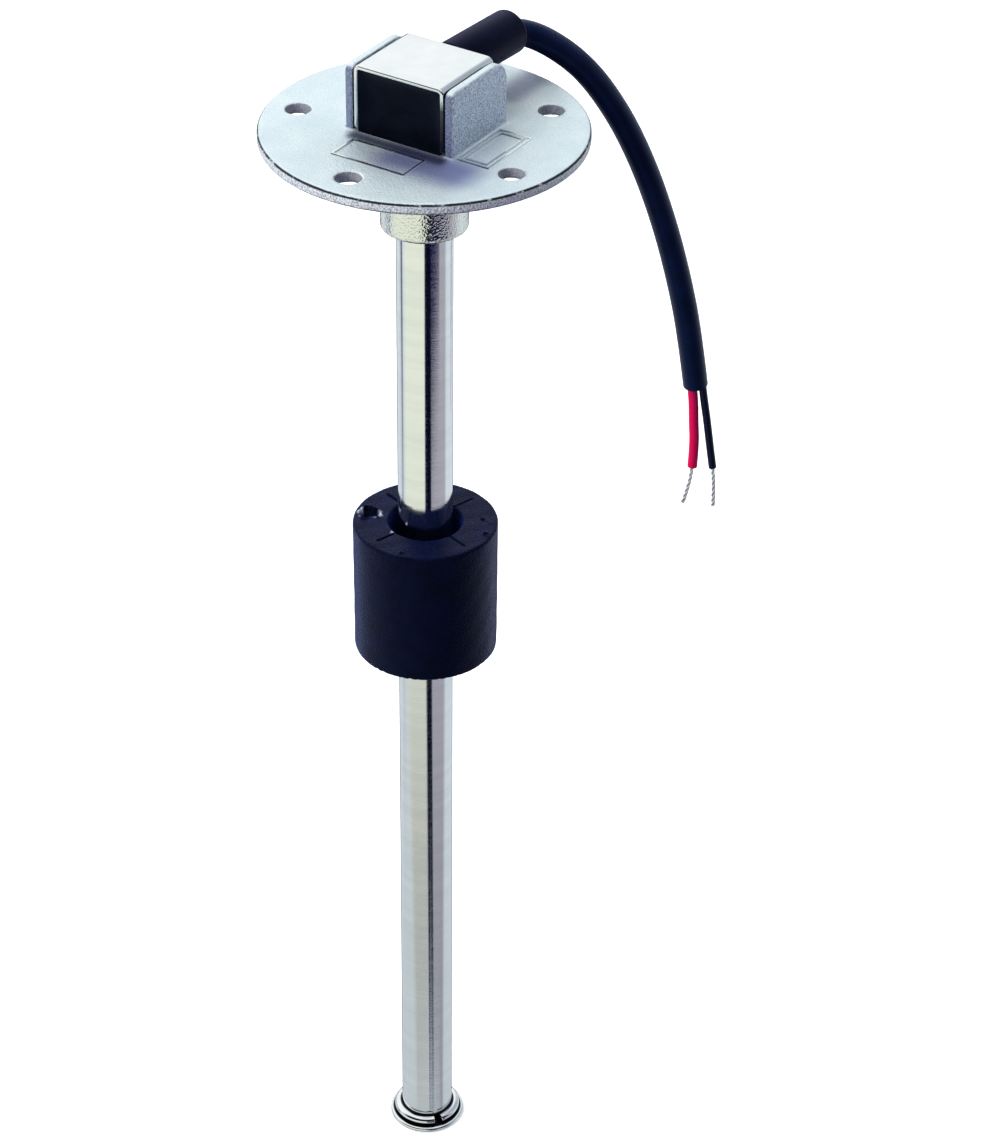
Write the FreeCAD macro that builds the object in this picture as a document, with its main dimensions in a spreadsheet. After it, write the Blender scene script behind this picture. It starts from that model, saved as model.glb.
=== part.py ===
"""Tank level sender: a flanged stem with a sliding magnetic float and a potted cable head.

Millimetres. The origin is the centre of the flange's underside, which seats on the tank.
+Z points up through the head, the stem hangs along -Z, and the cable leaves along +Y.
"""
import FreeCAD, Part
import math
import os
import re

import Sketcher
from FreeCAD import Placement, Rotation, Vector

doc = FreeCAD.newDocument("level_sender")
sheet = doc.addObject("Spreadsheet::Sheet", "sizes")

SIZES = {
    # Flange casting
    "flange_diameter": (68, "outside of the mounting flange"),
    "flange_thickness": (2.5, "flange plate"),
    "flange_edge_radius": (0.5, "rounded rim of the flange"),
    "bolt_circle": (54, "circle through the screw holes"),
    "screw_hole": (5.5, "screw hole diameter"),
    "first_hole_angle": (49.5, "first screw hole, from +X"),
    "hole_step_angle": (73.5, "from hole to hole, which leaves one narrower gap"),
    "neck_wall": (3.2, "neck round the stem tube's bore"),
    "neck_length": (19.8, "neck below the flange's underside"),
    "neck_root_radius": (0.8, "fillet between neck and flange"),
    "neck_edge_radius": (0.4, "rounded lower rim of the neck"),
    "tube_shoulder": (1.2, "metal left above the stem tube's end"),
    "tube_fit": (0.05, "gap between the stem tube and the neck's bore"),
    "wire_passage": (8, "hole for the leads above the stem tube"),
    "ear_gap": (22.1, "between the ears"),
    "ear_thickness": (1.85, "each ear"),
    "ear_front": (9.5, "ears in front of the axis"),
    "ear_back": (11, "ears behind the axis"),
    "ear_height": (14.3, "ears above the flange"),
    "ear_front_radius": (1.5, "upper front corner of an ear"),
    "ear_back_radius": (4.8, "upper back corner of an ear"),
    "ear_root_radius": (0.8, "fillet at the outer foot of an ear"),
    # Head
    "sheet_thickness": (1, "folded cover sheet"),
    "cover_clearance": (0.2, "gap between cover and ear"),
    "cover_proud": (0.4, "top of the cover above the ears"),
    "cover_front_setback": (0.05, "cover behind the ears' front edges"),
    "cover_back_setback": (1.95, "cover in front of the ears' back edges"),
    "cover_leg_gap": (0.7, "under the cover's legs"),
    "bend_radius": (0.5, "inside of the cover's bends"),
    "potting_setback": (0.2, "potting behind the cover's front and back edges"),
    "boot_drop": (4.85, "boot axis below the top of the cover"),
    "boot_lean": (3.5, "boot's turn from +Y towards +X"),
    "boot_diameter": (9.6, "cable boot"),
    "boot_length": (21, "boot's mouth behind the cover"),
    "boot_shoulder_gap": (0.35, "boot's shoulder behind the cover"),
    "boot_edge_radius": (0.8, "rounded rim at the boot's mouth"),
    "spigot_diameter": (6.6, "boot's root, held in the potting"),
    "spigot_length": (4, "boot's root in front of the cover's back edge"),
    "socket_depth": (6, "cable inside the boot"),
    "socket_flare": (3, "depth of the socket's widened mouth"),
    "socket_mouth": (6.9, "socket at the boot's mouth"),
    # Cable
    "cable_diameter": (5.7, "cable jacket"),
    "cable_grip": (0.05, "gap between jacket and socket"),
    "red_core_diameter": (2.3, "red core's insulation"),
    "black_core_diameter": (1.85, "black core's insulation"),
    "strand_diameter": (0.9, "twisted strands of a core"),
    # Stem
    "overall_length": (266.7, "from the top of the flange to the foot"),
    "tube_diameter": (12, "stem tube outside"),
    "tube_wall": (1, "stem tube wall"),
    "plug_rim": (1, "end plug's flange beyond the retaining ring"),
    "plug_flange_thickness": (1.2, "end plug's flange"),
    "plug_edge_radius": (0.45, "rounded rim of the end plug"),
    "plug_spigot": (4, "end plug inside the tube"),
    "plug_fit": (0.05, "gap between plug and tube"),
    "ring_wire": (2.1, "wire of the retaining ring"),
    "ring_groove": (0.3, "depth of the ring's groove in the tube"),
    "ring_fit": (0.03, "gap between ring and groove"),
    "ring_split": (1.6, "gap between the ring's ends"),
    "ring_split_angle": (-35, "where the ring is split, from +X"),
    # Float
    "float_diameter": (31.7, "float at its top"),
    "float_taper": (0.2, "float's bottom narrower than its top"),
    "float_height": (32, "float"),
    "float_clearance": (2.15, "between the stem tube and the float's bore"),
    "float_drop": (92.5, "top of the float below the flange's underside"),
    "float_edge_radius": (0.6, "rounded outer rims of the float"),
    "float_bore_radius": (0.5, "rounded rims of the bore"),
    "groove_width": (0.8, "radial grooves on top of the float"),
    "groove_depth": (0.6, "radial grooves on top of the float"),
    "groove_land": (2.45, "between the grooves' outer ends and the float's side"),
    "groove_angle": (72.5, "first groove, from +X"),
    "pit_diameter": (4.2, "core-pin pit on top of the float"),
    "pit_land": (1.15, "between the core-pin pit and the float's side"),
    "pit_angle": (200.6, "core-pin pit, from +X"),
    "magnet_cover": (2.05, "foam between the float's bore and the ring magnet"),
    "magnet_wall": (2.8, "ring magnet, from its bore to its outside"),
    "magnet_height": (6, "ring magnet"),
    "magnet_depth": (13, "top of the magnet below the top of the float"),
    # Sensor chain
    "board_width": (7, "sensor board"),
    "board_thickness": (1, "sensor board"),
    "board_headroom": (20, "above the board, inside the tube"),
    "sleeve_wall": (0.25, "insulating sleeve"),
    "sleeve_clearance": (0.2, "between sleeve and tube"),
    "reed_pitch": (20, "from reed switch to reed switch"),
    "reed_diameter": (2.2, "glass capsule"),
    "reed_length": (14, "glass capsule"),
    "reed_seal": (0.8, "tapered glass seal at each end of the capsule"),
    "reed_standoff": (0.3, "between capsule and board"),
    "reed_margin": (14, "first capsule's middle above the end plug"),
    "lead_wire": (0.5, "formed wire of a reed switch"),
    "lead_reach": (2, "formed wire beyond the capsule"),
    "chip_length": (2, "chip resistor along the board"),
    "chip_width": (1.25, "chip resistor across the board"),
    "chip_height": (0.55, "chip resistor"),
    "wire_diameter": (1.4, "insulated lead from the board to the head"),
    "wire_spacing": (2.6, "between the two leads"),
    "wire_overlap": (5, "leads along the board's back"),
}

for row, (name, (number, note)) in enumerate(SIZES.items(), start=1):
    sheet.set(f"A{row}", note)
    sheet.set(f"B{row}", str(number))
    sheet.setAlias(f"B{row}", name)
doc.recompute()

# How near two places are taken as the same
SAME_PLACE = 1e-4

# Heights and half widths that several pieces share
FOOT = "(flange_thickness - overall_length)"
TUBE_TOP = "(flange_thickness - tube_shoulder)"
TUBE_BOTTOM = f"({FOOT} + plug_flange_thickness)"
TUBE_BORE = "(tube_diameter / 2 - tube_wall)"
PLUG_TOP = f"({TUBE_BOTTOM} + plug_spigot)"
RING_RADIUS = "(tube_diameter / 2 - ring_groove + ring_wire / 2)"
RING_HEIGHT = f"({TUBE_BOTTOM} + ring_wire / 2)"
RING_OUTSIDE = f"({RING_RADIUS} + ring_wire / 2)"
PLUG_RADIUS = f"({RING_OUTSIDE} + plug_rim)"
NECK_BORE = "(tube_diameter / 2 + tube_fit)"
NECK_RADIUS = f"({NECK_BORE} + neck_wall)"
EAR_TOP = "(flange_thickness + ear_height)"
COVER_HALF = "(ear_gap / 2 - cover_clearance)"
COVER_TOP = f"({EAR_TOP} + cover_proud)"
COVER_FRONT = "(ear_front - cover_front_setback)"
COVER_BACK = "(ear_back - cover_back_setback)"
COVER_LEG = "(flange_thickness + cover_leg_gap)"
POTTING_HALF = f"({COVER_HALF} - sheet_thickness)"
POTTING_TOP = f"({COVER_TOP} - sheet_thickness)"
BOOT_AXIS = f"({COVER_TOP} - boot_drop)"
FLOAT_TOP = "(0 - float_drop)"
FLOAT_BOTTOM = "(0 - float_drop - float_height)"
FLOAT_RADIUS = "(float_diameter / 2)"
FLOAT_FOOT_RADIUS = "(float_diameter / 2 - float_taper / 2)"
FLOAT_BORE = "(tube_diameter / 2 + float_clearance)"
MAGNET_INSIDE = f"({FLOAT_BORE} + magnet_cover)"
MAGNET_OUTSIDE = f"({MAGNET_INSIDE} + magnet_wall)"
MAGNET_TOP = f"({FLOAT_TOP} - magnet_depth)"
MAGNET_BOTTOM = f"({MAGNET_TOP} - magnet_height)"
BOARD_TOP = f"({TUBE_TOP} - board_headroom)"
BOARD_BACK = "(board_thickness / 2)"
REED_AXIS = "(0 - board_thickness / 2 - reed_standoff - reed_diameter / 2)"
FIRST_REED = f"({PLUG_TOP} + reed_margin)"


def formula(text):
    """A sheet expression from a formula in the sizes' own names."""
    return re.sub(r"[a-z_]+", lambda word: f"sizes.{word[0]}" if word[0] in SIZES else word[0], text)


def value(text):
    """What a formula comes to, as a number."""
    return float(sheet.evalExpression(formula(text)))


def bind(thing, target, text):
    thing.setExpression(target, formula(text))


def new_body(label):
    body = doc.addObject("PartDesign::Body", label)
    body.Label = label
    return body


def origin_feature(body, role):
    return next(item for item in body.Origin.OriginFeatures if item.Role == role)


def new_sketch(body, name, plane, offset=None):
    """A sketch on one of the body's own planes, moved along its normal by a formula."""
    sketch = body.newObject("Sketcher::SketchObject", name)
    sketch.AttachmentSupport = [(origin_feature(body, plane), "")]
    sketch.MapMode = "FlatFace"
    if offset:
        bind(sketch, "AttachmentOffset.Base.z", offset)
    return sketch


def locate(sketch, index, vertex, across, up):
    """Ties a sketch point to the sketch's origin by two formulas."""
    for direction, text, axis in (("DistanceX", across, -2), ("DistanceY", up, -1)):
        if text == "0":
            sketch.addConstraint(Sketcher.Constraint("PointOnObject", index, vertex, axis))
        else:
            number = sketch.addConstraint(Sketcher.Constraint(direction, index, vertex, value(text)))
            bind(sketch, f"Constraints[{number}]", text)


def add_circle(sketch, across, up, diameter):
    centre = Vector(value(across), value(up), 0)
    index = sketch.addGeometry(Part.Circle(centre, Vector(0, 0, 1), value(diameter) / 2))
    locate(sketch, index, 3, across, up)
    number = sketch.addConstraint(Sketcher.Constraint("Diameter", index, value(diameter)))
    bind(sketch, f"Constraints[{number}]", diameter)


def add_outline(sketch, corners):
    """A closed outline of straight sides through corners (across, up), all formulas."""
    places = [Vector(value(across), value(up), 0) for across, up in corners]
    sides = [
        sketch.addGeometry(Part.LineSegment(place, places[(number + 1) % len(places)]))
        for number, place in enumerate(places)
    ]
    for number, corner in enumerate(corners):
        sketch.addConstraint(Sketcher.Constraint("Coincident", sides[number - 1], 2, sides[number], 1))
        locate(sketch, sides[number], 1, *corner)


def revolve(body, name, sketch, kind="Revolution"):
    feature = body.newObject(f"PartDesign::{kind}", name)
    feature.Profile = sketch
    feature.ReferenceAxis = (sketch, ["V_Axis"])
    feature.Angle = 360
    return feature


def turned(label, corners):
    """A body turned about the vertical axis from one outline of radii and heights."""
    body = new_body(label)
    sketch = new_sketch(body, f"{label}_section", "XZ_Plane")
    add_outline(sketch, corners)
    revolve(body, f"{label}_turn", sketch)
    return body


def pad(body, name, sketch, length, side="One side"):
    feature = body.newObject("PartDesign::Pad", name)
    feature.Profile = sketch
    feature.SideType = side
    bind(feature, "Length", length)
    return feature


def pocket(body, name, sketch, depth):
    """A cut below its sketch, checked to take material away."""
    doc.recompute()
    before = body.Shape.Volume
    feature = body.newObject("PartDesign::Pocket", name)
    feature.Profile = sketch
    bind(feature, "Length", depth)
    doc.recompute()
    if not body.Shape.Volume < before:
        raise RuntimeError(f"{name} cuts nothing")
    return feature


def pattern(body, name, original, count, kind, axis):
    """Copies of a feature along or about one of the body's axes."""
    feature = body.newObject(f"PartDesign::{kind}", name)
    feature.Originals = [original]
    if kind == "PolarPattern":
        feature.Axis = (origin_feature(body, axis), [""])
    else:
        feature.Direction = (origin_feature(body, axis), [""])
    feature.Mode = "Spacing"
    feature.Occurrences = count
    body.Tip = feature
    return feature


def fillet(body, name, radius, choose):
    """Rounds the edges of the body's present shape that choose() picks."""
    doc.recompute()
    base = body.Tip
    names = [f"Edge{number}" for number, edge in enumerate(base.Shape.Edges, start=1) if choose(edge)]
    feature = body.newObject("PartDesign::Fillet", name)
    feature.Base = (base, names)
    bind(feature, "Radius", radius)


def circle_at(radius, height):
    """Picks full circles about the vertical axis, by formulas for radius and height."""
    def choose(edge):
        return (isinstance(edge.Curve, Part.Circle)
                and abs(edge.Curve.Radius - value(radius)) < SAME_PLACE
                and abs(edge.BoundBox.ZMin - value(height)) < SAME_PLACE
                and abs(edge.BoundBox.ZMax - value(height)) < SAME_PLACE)
    return choose


def line_along_x(y, z):
    """Picks straight edges along X, by formulas for y and z."""
    def choose(edge):
        return (edge.BoundBox.YLength + edge.BoundBox.ZLength < SAME_PLACE
                and abs(edge.BoundBox.YMin - value(y)) < SAME_PLACE
                and abs(edge.BoundBox.ZMin - value(z)) < SAME_PLACE)
    return choose


def lines_along_y(x, z):
    """Picks straight edges along Y on both sides of the middle, by formulas for x and z."""
    def choose(edge):
        return (edge.BoundBox.XLength + edge.BoundBox.ZLength < SAME_PLACE
                and abs(abs(edge.BoundBox.XMin) - value(x)) < SAME_PLACE
                and abs(edge.BoundBox.ZMin - value(z)) < SAME_PLACE)
    return choose


def polar(radius, angle):
    """Two formulas for a place at a radius and an angle from +X."""
    return f"{radius} * cos({angle} * 1 deg)", f"{radius} * sin({angle} * 1 deg)"


def rounded_route(points):
    """Straight runs joined by tangent arcs, each as large as its two runs allow."""
    share_of_run = 0.45
    edges = []
    radii = []
    start = points[0]
    for before, corner, after in zip(points, points[1:], points[2:]):
        back = before - corner
        ahead = after - corner
        reach = share_of_run * min(back.Length, ahead.Length)
        half_turn = (math.pi - back.getAngle(ahead)) / 2
        radius = reach / math.tan(half_turn)
        back.normalize()
        ahead.normalize()
        inward = (back + ahead).normalize()
        middle = corner + inward * (radius / math.cos(half_turn) - radius)
        edges.append(Part.LineSegment(start, corner + back * reach).toShape())
        edges.append(Part.Arc(corner + back * reach, middle, corner + ahead * reach).toShape())
        start = corner + ahead * reach
        radii.append(radius)
    edges.append(Part.LineSegment(start, points[-1]).toShape())
    return Part.Wire(edges), radii


def cord(label, points, diameter):
    """A plain round cord along a route; prints its length, radii and volume."""
    path, radii = rounded_route(points)
    section = Part.Wire(Part.Circle(points[0], points[1] - points[0], diameter / 2).toShape())
    solid = path.makePipeShell([section], True, False)
    expected = path.Length * math.pi * diameter ** 2 / 4
    print(f"{label}: length {path.Length:.2f}, radii {[round(radius, 1) for radius in radii]},",
          f"volume {solid.Volume:.2f} for {expected:.2f}")
    feature = doc.addObject("Part::Feature", label)
    feature.Label = label
    feature.Shape = solid
    return feature


def make_flange_casting():
    """Disc, neck and two ears in one casting, bored for the stem tube and the leads."""
    body = turned("flange_casting", [
        ("wire_passage / 2", "flange_thickness"),
        ("flange_diameter / 2", "flange_thickness"),
        ("flange_diameter / 2", "0"),
        (NECK_RADIUS, "0"),
        (NECK_RADIUS, "0 - neck_length"),
        (NECK_BORE, "0 - neck_length"),
        (NECK_BORE, TUBE_TOP),
        ("wire_passage / 2", TUBE_TOP),
    ])
    rim = "flange_diameter / 2"
    fillet(body, "flange_rim_upper", "flange_edge_radius", circle_at(rim, "flange_thickness"))
    fillet(body, "flange_rim_lower", "flange_edge_radius", circle_at(rim, "0"))
    fillet(body, "neck_root", "neck_root_radius", circle_at(NECK_RADIUS, "0"))
    fillet(body, "neck_rim", "neck_edge_radius", circle_at(NECK_RADIUS, "0 - neck_length"))

    ear_sketch = new_sketch(body, "ear_outline", "YZ_Plane", "ear_gap / 2")
    add_outline(ear_sketch, [
        ("0 - ear_front", "flange_thickness"),
        ("ear_back", "flange_thickness"),
        ("ear_back", EAR_TOP),
        ("0 - ear_front", EAR_TOP),
    ])
    ear = pad(body, "ear", ear_sketch, "ear_thickness")
    both_ears = body.newObject("PartDesign::Mirrored", "ears")
    both_ears.Originals = [ear]
    both_ears.MirrorPlane = (origin_feature(body, "YZ_Plane"), [""])
    body.Tip = both_ears

    fillet(body, "ear_front_corners", "ear_front_radius", line_along_x("0 - ear_front", EAR_TOP))
    fillet(body, "ear_back_corners", "ear_back_radius", line_along_x("ear_back", EAR_TOP))
    ear_outside = "ear_gap / 2 + ear_thickness"
    fillet(body, "ear_roots", "ear_root_radius", lines_along_y(ear_outside, "flange_thickness"))

    hole_sketch = new_sketch(body, "screw_hole_outline", "XY_Plane", "flange_thickness")
    add_circle(hole_sketch, *polar("bolt_circle / 2", "first_hole_angle"), "screw_hole")
    hole = pocket(body, "screw_hole_cut", hole_sketch, "flange_thickness")
    hole_count = 5
    holes = pattern(body, "screw_holes", hole, hole_count, "PolarPattern", "Z_Axis")
    bind(holes, "Offset", "hole_step_angle")


def make_head_cover():
    """One sheet folded into a U, open at the front and the back."""
    body = new_body("head_cover")
    sketch = new_sketch(body, "cover_section", "XZ_Plane", f"0 - {COVER_BACK}")
    add_outline(sketch, [
        (f"0 - {COVER_HALF}", COVER_LEG),
        (f"0 - {POTTING_HALF}", COVER_LEG),
        (f"0 - {POTTING_HALF}", POTTING_TOP),
        (POTTING_HALF, POTTING_TOP),
        (POTTING_HALF, COVER_LEG),
        (COVER_HALF, COVER_LEG),
        (COVER_HALF, COVER_TOP),
        (f"0 - {COVER_HALF}", COVER_TOP),
    ])
    pad(body, "cover_fold", sketch, f"{COVER_FRONT} + {COVER_BACK}")
    fillet(body, "inner_bends", "bend_radius", lines_along_y(POTTING_HALF, POTTING_TOP))
    fillet(body, "outer_bends", "bend_radius + sheet_thickness", lines_along_y(COVER_HALF, COVER_TOP))


def boot_frame():
    """Where the boot's own axis starts, and its direction."""
    turn = Rotation(Vector(0, 0, 1), -value("boot_lean"))
    return Vector(0, value(COVER_BACK), value(BOOT_AXIS)), turn.multVec(Vector(0, 1, 0)), turn


def make_cable_boot():
    """Rubber sleeve with a root in the potting and a flared socket for the cable."""
    socket_radius = "cable_diameter / 2 + cable_grip"
    body = turned("cable_boot", [
        ("0", "0 - spigot_length"),
        ("spigot_diameter / 2", "0 - spigot_length"),
        ("spigot_diameter / 2", "boot_shoulder_gap"),
        ("boot_diameter / 2", "boot_shoulder_gap"),
        ("boot_diameter / 2", "boot_length"),
        ("socket_mouth / 2", "boot_length"),
        (socket_radius, "boot_length - socket_flare"),
        (socket_radius, "boot_length - socket_depth"),
        ("0", "boot_length - socket_depth"),
    ])
    fillet(body, "boot_rim", "boot_edge_radius", circle_at("boot_diameter / 2", "boot_length"))
    root, _, turn = boot_frame()
    body.Placement = Placement(root, turn.multiply(Rotation(Vector(1, 0, 0), -90)))
    return body


def make_leads():
    """Two insulated leads from the back of the board up through the neck to the boot's root."""
    root, direction, turn = boot_frame()
    sideways = turn.multVec(Vector(1, 0, 0))
    back_of_board = value(f"{BOARD_BACK} + wire_diameter / 2")
    leads = []
    for label, side in (("red_lead", -1), ("black_lead", 1)):
        end = root - direction * value("spigot_length") + sideways * (side * value("wire_spacing / 2"))
        bend = end - direction * ((end.y - back_of_board) / direction.y)
        start = Vector(bend.x, bend.y, value(f"{BOARD_TOP} - wire_overlap"))
        leads.append(cord(label, [start, bend, end], value("wire_diameter")))
    return leads


def make_head_potting(boot, leads):
    """Resin cast under the cover, round the boot's root and the leads."""
    body = new_body("potting_block")
    sketch = new_sketch(body, "potting_section", "XZ_Plane", f"potting_setback - {COVER_BACK}")
    add_outline(sketch, [
        (f"0 - {POTTING_HALF}", "flange_thickness"),
        (POTTING_HALF, "flange_thickness"),
        (POTTING_HALF, POTTING_TOP),
        (f"0 - {POTTING_HALF}", POTTING_TOP),
    ])
    pad(body, "potting_fill", sketch, f"{COVER_FRONT} + {COVER_BACK} - 2 * potting_setback")
    fillet(body, "potting_corners", "bend_radius", lines_along_y(POTTING_HALF, POTTING_TOP))
    filled = body
    for held in [boot, *leads]:
        cut = doc.addObject("Part::Cut", f"potting_round_{held.Label}")
        cut.Base = filled
        cut.Tool = held
        filled = cut
    filled.Label = "head_potting"


def make_cable():
    """Jacket from the boot's socket, hanging beside the stem, with two bared cores at its end."""
    root, direction, _ = boot_frame()
    mouth = root + direction * value("boot_length")
    lead_out = 0.5
    # Hanging route, from the middle of the boot's mouth
    hanging = [
        (3.7, 7.0, -3.3),
        (8.6, 16.2, -12.3),
        (12.8, 24.0, -25.4),
        (16.0, 30.0, -39.4),
        (18.6, 35.0, -54.4),
        (20.7, 38.9, -69.4),
        (22.4, 42.0, -84.4),
        (23.5, 44.1, -99.2),
    ]
    route = [mouth - direction * value("socket_depth"), mouth + direction * lead_out]
    route += [mouth + Vector(*step) for step in hanging]
    cord("cable", route, value("cable_diameter"))

    cut_end = route[-1]
    onward = (route[-1] - route[-2]).normalize()
    first_run = 4
    # Each core: where it leaves the cut end, its bends, and its bare strands' end, all from the cut end
    cores = {
        "red": ((-0.75, -0.35), [(-0.1, 0.1, -10), (0.3, 0.3, -16), (0.1, 0.1, -22.1)], (-1.5, -0.9, -32.2)),
        "black": ((1.3, 0.8), [(2.6, 1.7, -10), (3.3, 2.1, -16), (4.1, 2.6, -22.3)], (4.5, 2.9, -32.9)),
    }
    for colour, (leaves, bends, tip) in cores.items():
        drop = -(leaves[0] * onward.x + leaves[1] * onward.y) / onward.z
        start = cut_end + Vector(*leaves, drop)
        core_route = [start, start + onward * first_run]
        core_route += [cut_end + Vector(*step) for step in bends]
        cord(f"{colour}_core", core_route, value(f"{colour}_core_diameter"))
        core_end = core_route[-1]
        core_onward = (core_route[-1] - core_route[-2]).normalize()
        strand_route = [core_end, core_end + core_onward * first_run, cut_end + Vector(*tip)]
        cord(f"{colour}_strands", strand_route, value("strand_diameter"))


def make_stem():
    """Tube seated in the neck, plug welded into its foot and the split ring above the plug."""
    tube = turned("stem_tube", [
        (TUBE_BORE, TUBE_TOP),
        ("tube_diameter / 2", TUBE_TOP),
        ("tube_diameter / 2", TUBE_BOTTOM),
        (TUBE_BORE, TUBE_BOTTOM),
    ])
    groove_sketch = new_sketch(tube, "ring_groove_section", "XZ_Plane")
    add_circle(groove_sketch, RING_RADIUS, RING_HEIGHT, "ring_wire + 2 * ring_fit")
    revolve(tube, "ring_groove_cut", groove_sketch, "Groove")

    spigot = f"{TUBE_BORE} - plug_fit"
    plug = turned("end_plug", [
        ("0", FOOT),
        (PLUG_RADIUS, FOOT),
        (PLUG_RADIUS, TUBE_BOTTOM),
        (spigot, TUBE_BOTTOM),
        (spigot, PLUG_TOP),
        ("0", PLUG_TOP),
    ])
    fillet(plug, "plug_rim_lower", "plug_edge_radius", circle_at(PLUG_RADIUS, FOOT))
    fillet(plug, "plug_rim_upper", "plug_edge_radius", circle_at(PLUG_RADIUS, TUBE_BOTTOM))

    ring = new_body("retaining_ring")
    wire_sketch = new_sketch(ring, "ring_wire_section", "XZ_Plane")
    add_circle(wire_sketch, RING_RADIUS, RING_HEIGHT, "ring_wire")
    bent = revolve(ring, "ring_bend", wire_sketch)
    split = f"ring_split / {RING_RADIUS} * 180 / pi"
    bind(bent, "Angle", f"360 - {split}")
    start_turn = value(f"ring_split_angle + {split} / 2")
    ring.Placement = Placement(Vector(), Rotation(Vector(0, 0, 1), start_turn))


def make_float():
    """Foam float with a slight taper, moulded round a ring magnet that a core pin held."""
    body = turned("float", [
        (FLOAT_BORE, FLOAT_BOTTOM),
        (FLOAT_FOOT_RADIUS, FLOAT_BOTTOM),
        (FLOAT_RADIUS, FLOAT_TOP),
        (FLOAT_BORE, FLOAT_TOP),
    ])
    fillet(body, "float_rim_upper", "float_edge_radius", circle_at(FLOAT_RADIUS, FLOAT_TOP))
    fillet(body, "float_rim_lower", "float_edge_radius", circle_at(FLOAT_FOOT_RADIUS, FLOAT_BOTTOM))
    fillet(body, "bore_rim_upper", "float_bore_radius", circle_at(FLOAT_BORE, FLOAT_TOP))
    fillet(body, "bore_rim_lower", "float_bore_radius", circle_at(FLOAT_BORE, FLOAT_BOTTOM))
    magnet_section = [
        (MAGNET_INSIDE, MAGNET_BOTTOM),
        (MAGNET_OUTSIDE, MAGNET_BOTTOM),
        (MAGNET_OUTSIDE, MAGNET_TOP),
        (MAGNET_INSIDE, MAGNET_TOP),
    ]
    cavity = new_sketch(body, "magnet_cavity_section", "XZ_Plane")
    add_outline(cavity, magnet_section)
    revolve(body, "magnet_cavity", cavity, "Groove")
    turned("float_magnet", magnet_section)

    pit_sketch = new_sketch(body, "pit_outline", "XY_Plane", FLOAT_TOP)
    pit_radius = f"({FLOAT_RADIUS} - pit_land - pit_diameter / 2)"
    add_circle(pit_sketch, *polar(pit_radius, "pit_angle"), "pit_diameter")
    pocket(body, "core_pin_pit", pit_sketch, "magnet_depth")

    groove_sketch = new_sketch(body, "float_groove_outline", "XY_Plane", FLOAT_TOP)
    bind(groove_sketch, "AttachmentOffset.Rotation.Angle", "groove_angle")
    inner_end = f"{FLOAT_BORE} - groove_depth"
    outer_end = f"{FLOAT_RADIUS} - groove_land"
    add_outline(groove_sketch, [
        (inner_end, "0 - groove_width / 2"),
        (outer_end, "0 - groove_width / 2"),
        (outer_end, "groove_width / 2"),
        (inner_end, "groove_width / 2"),
    ])
    groove = pocket(body, "float_groove", groove_sketch, "groove_depth")
    groove_count = 4
    grooves = pattern(body, "float_grooves", groove, groove_count, "PolarPattern", "Z_Axis")
    grooves.Offset = 360 / groove_count


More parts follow.
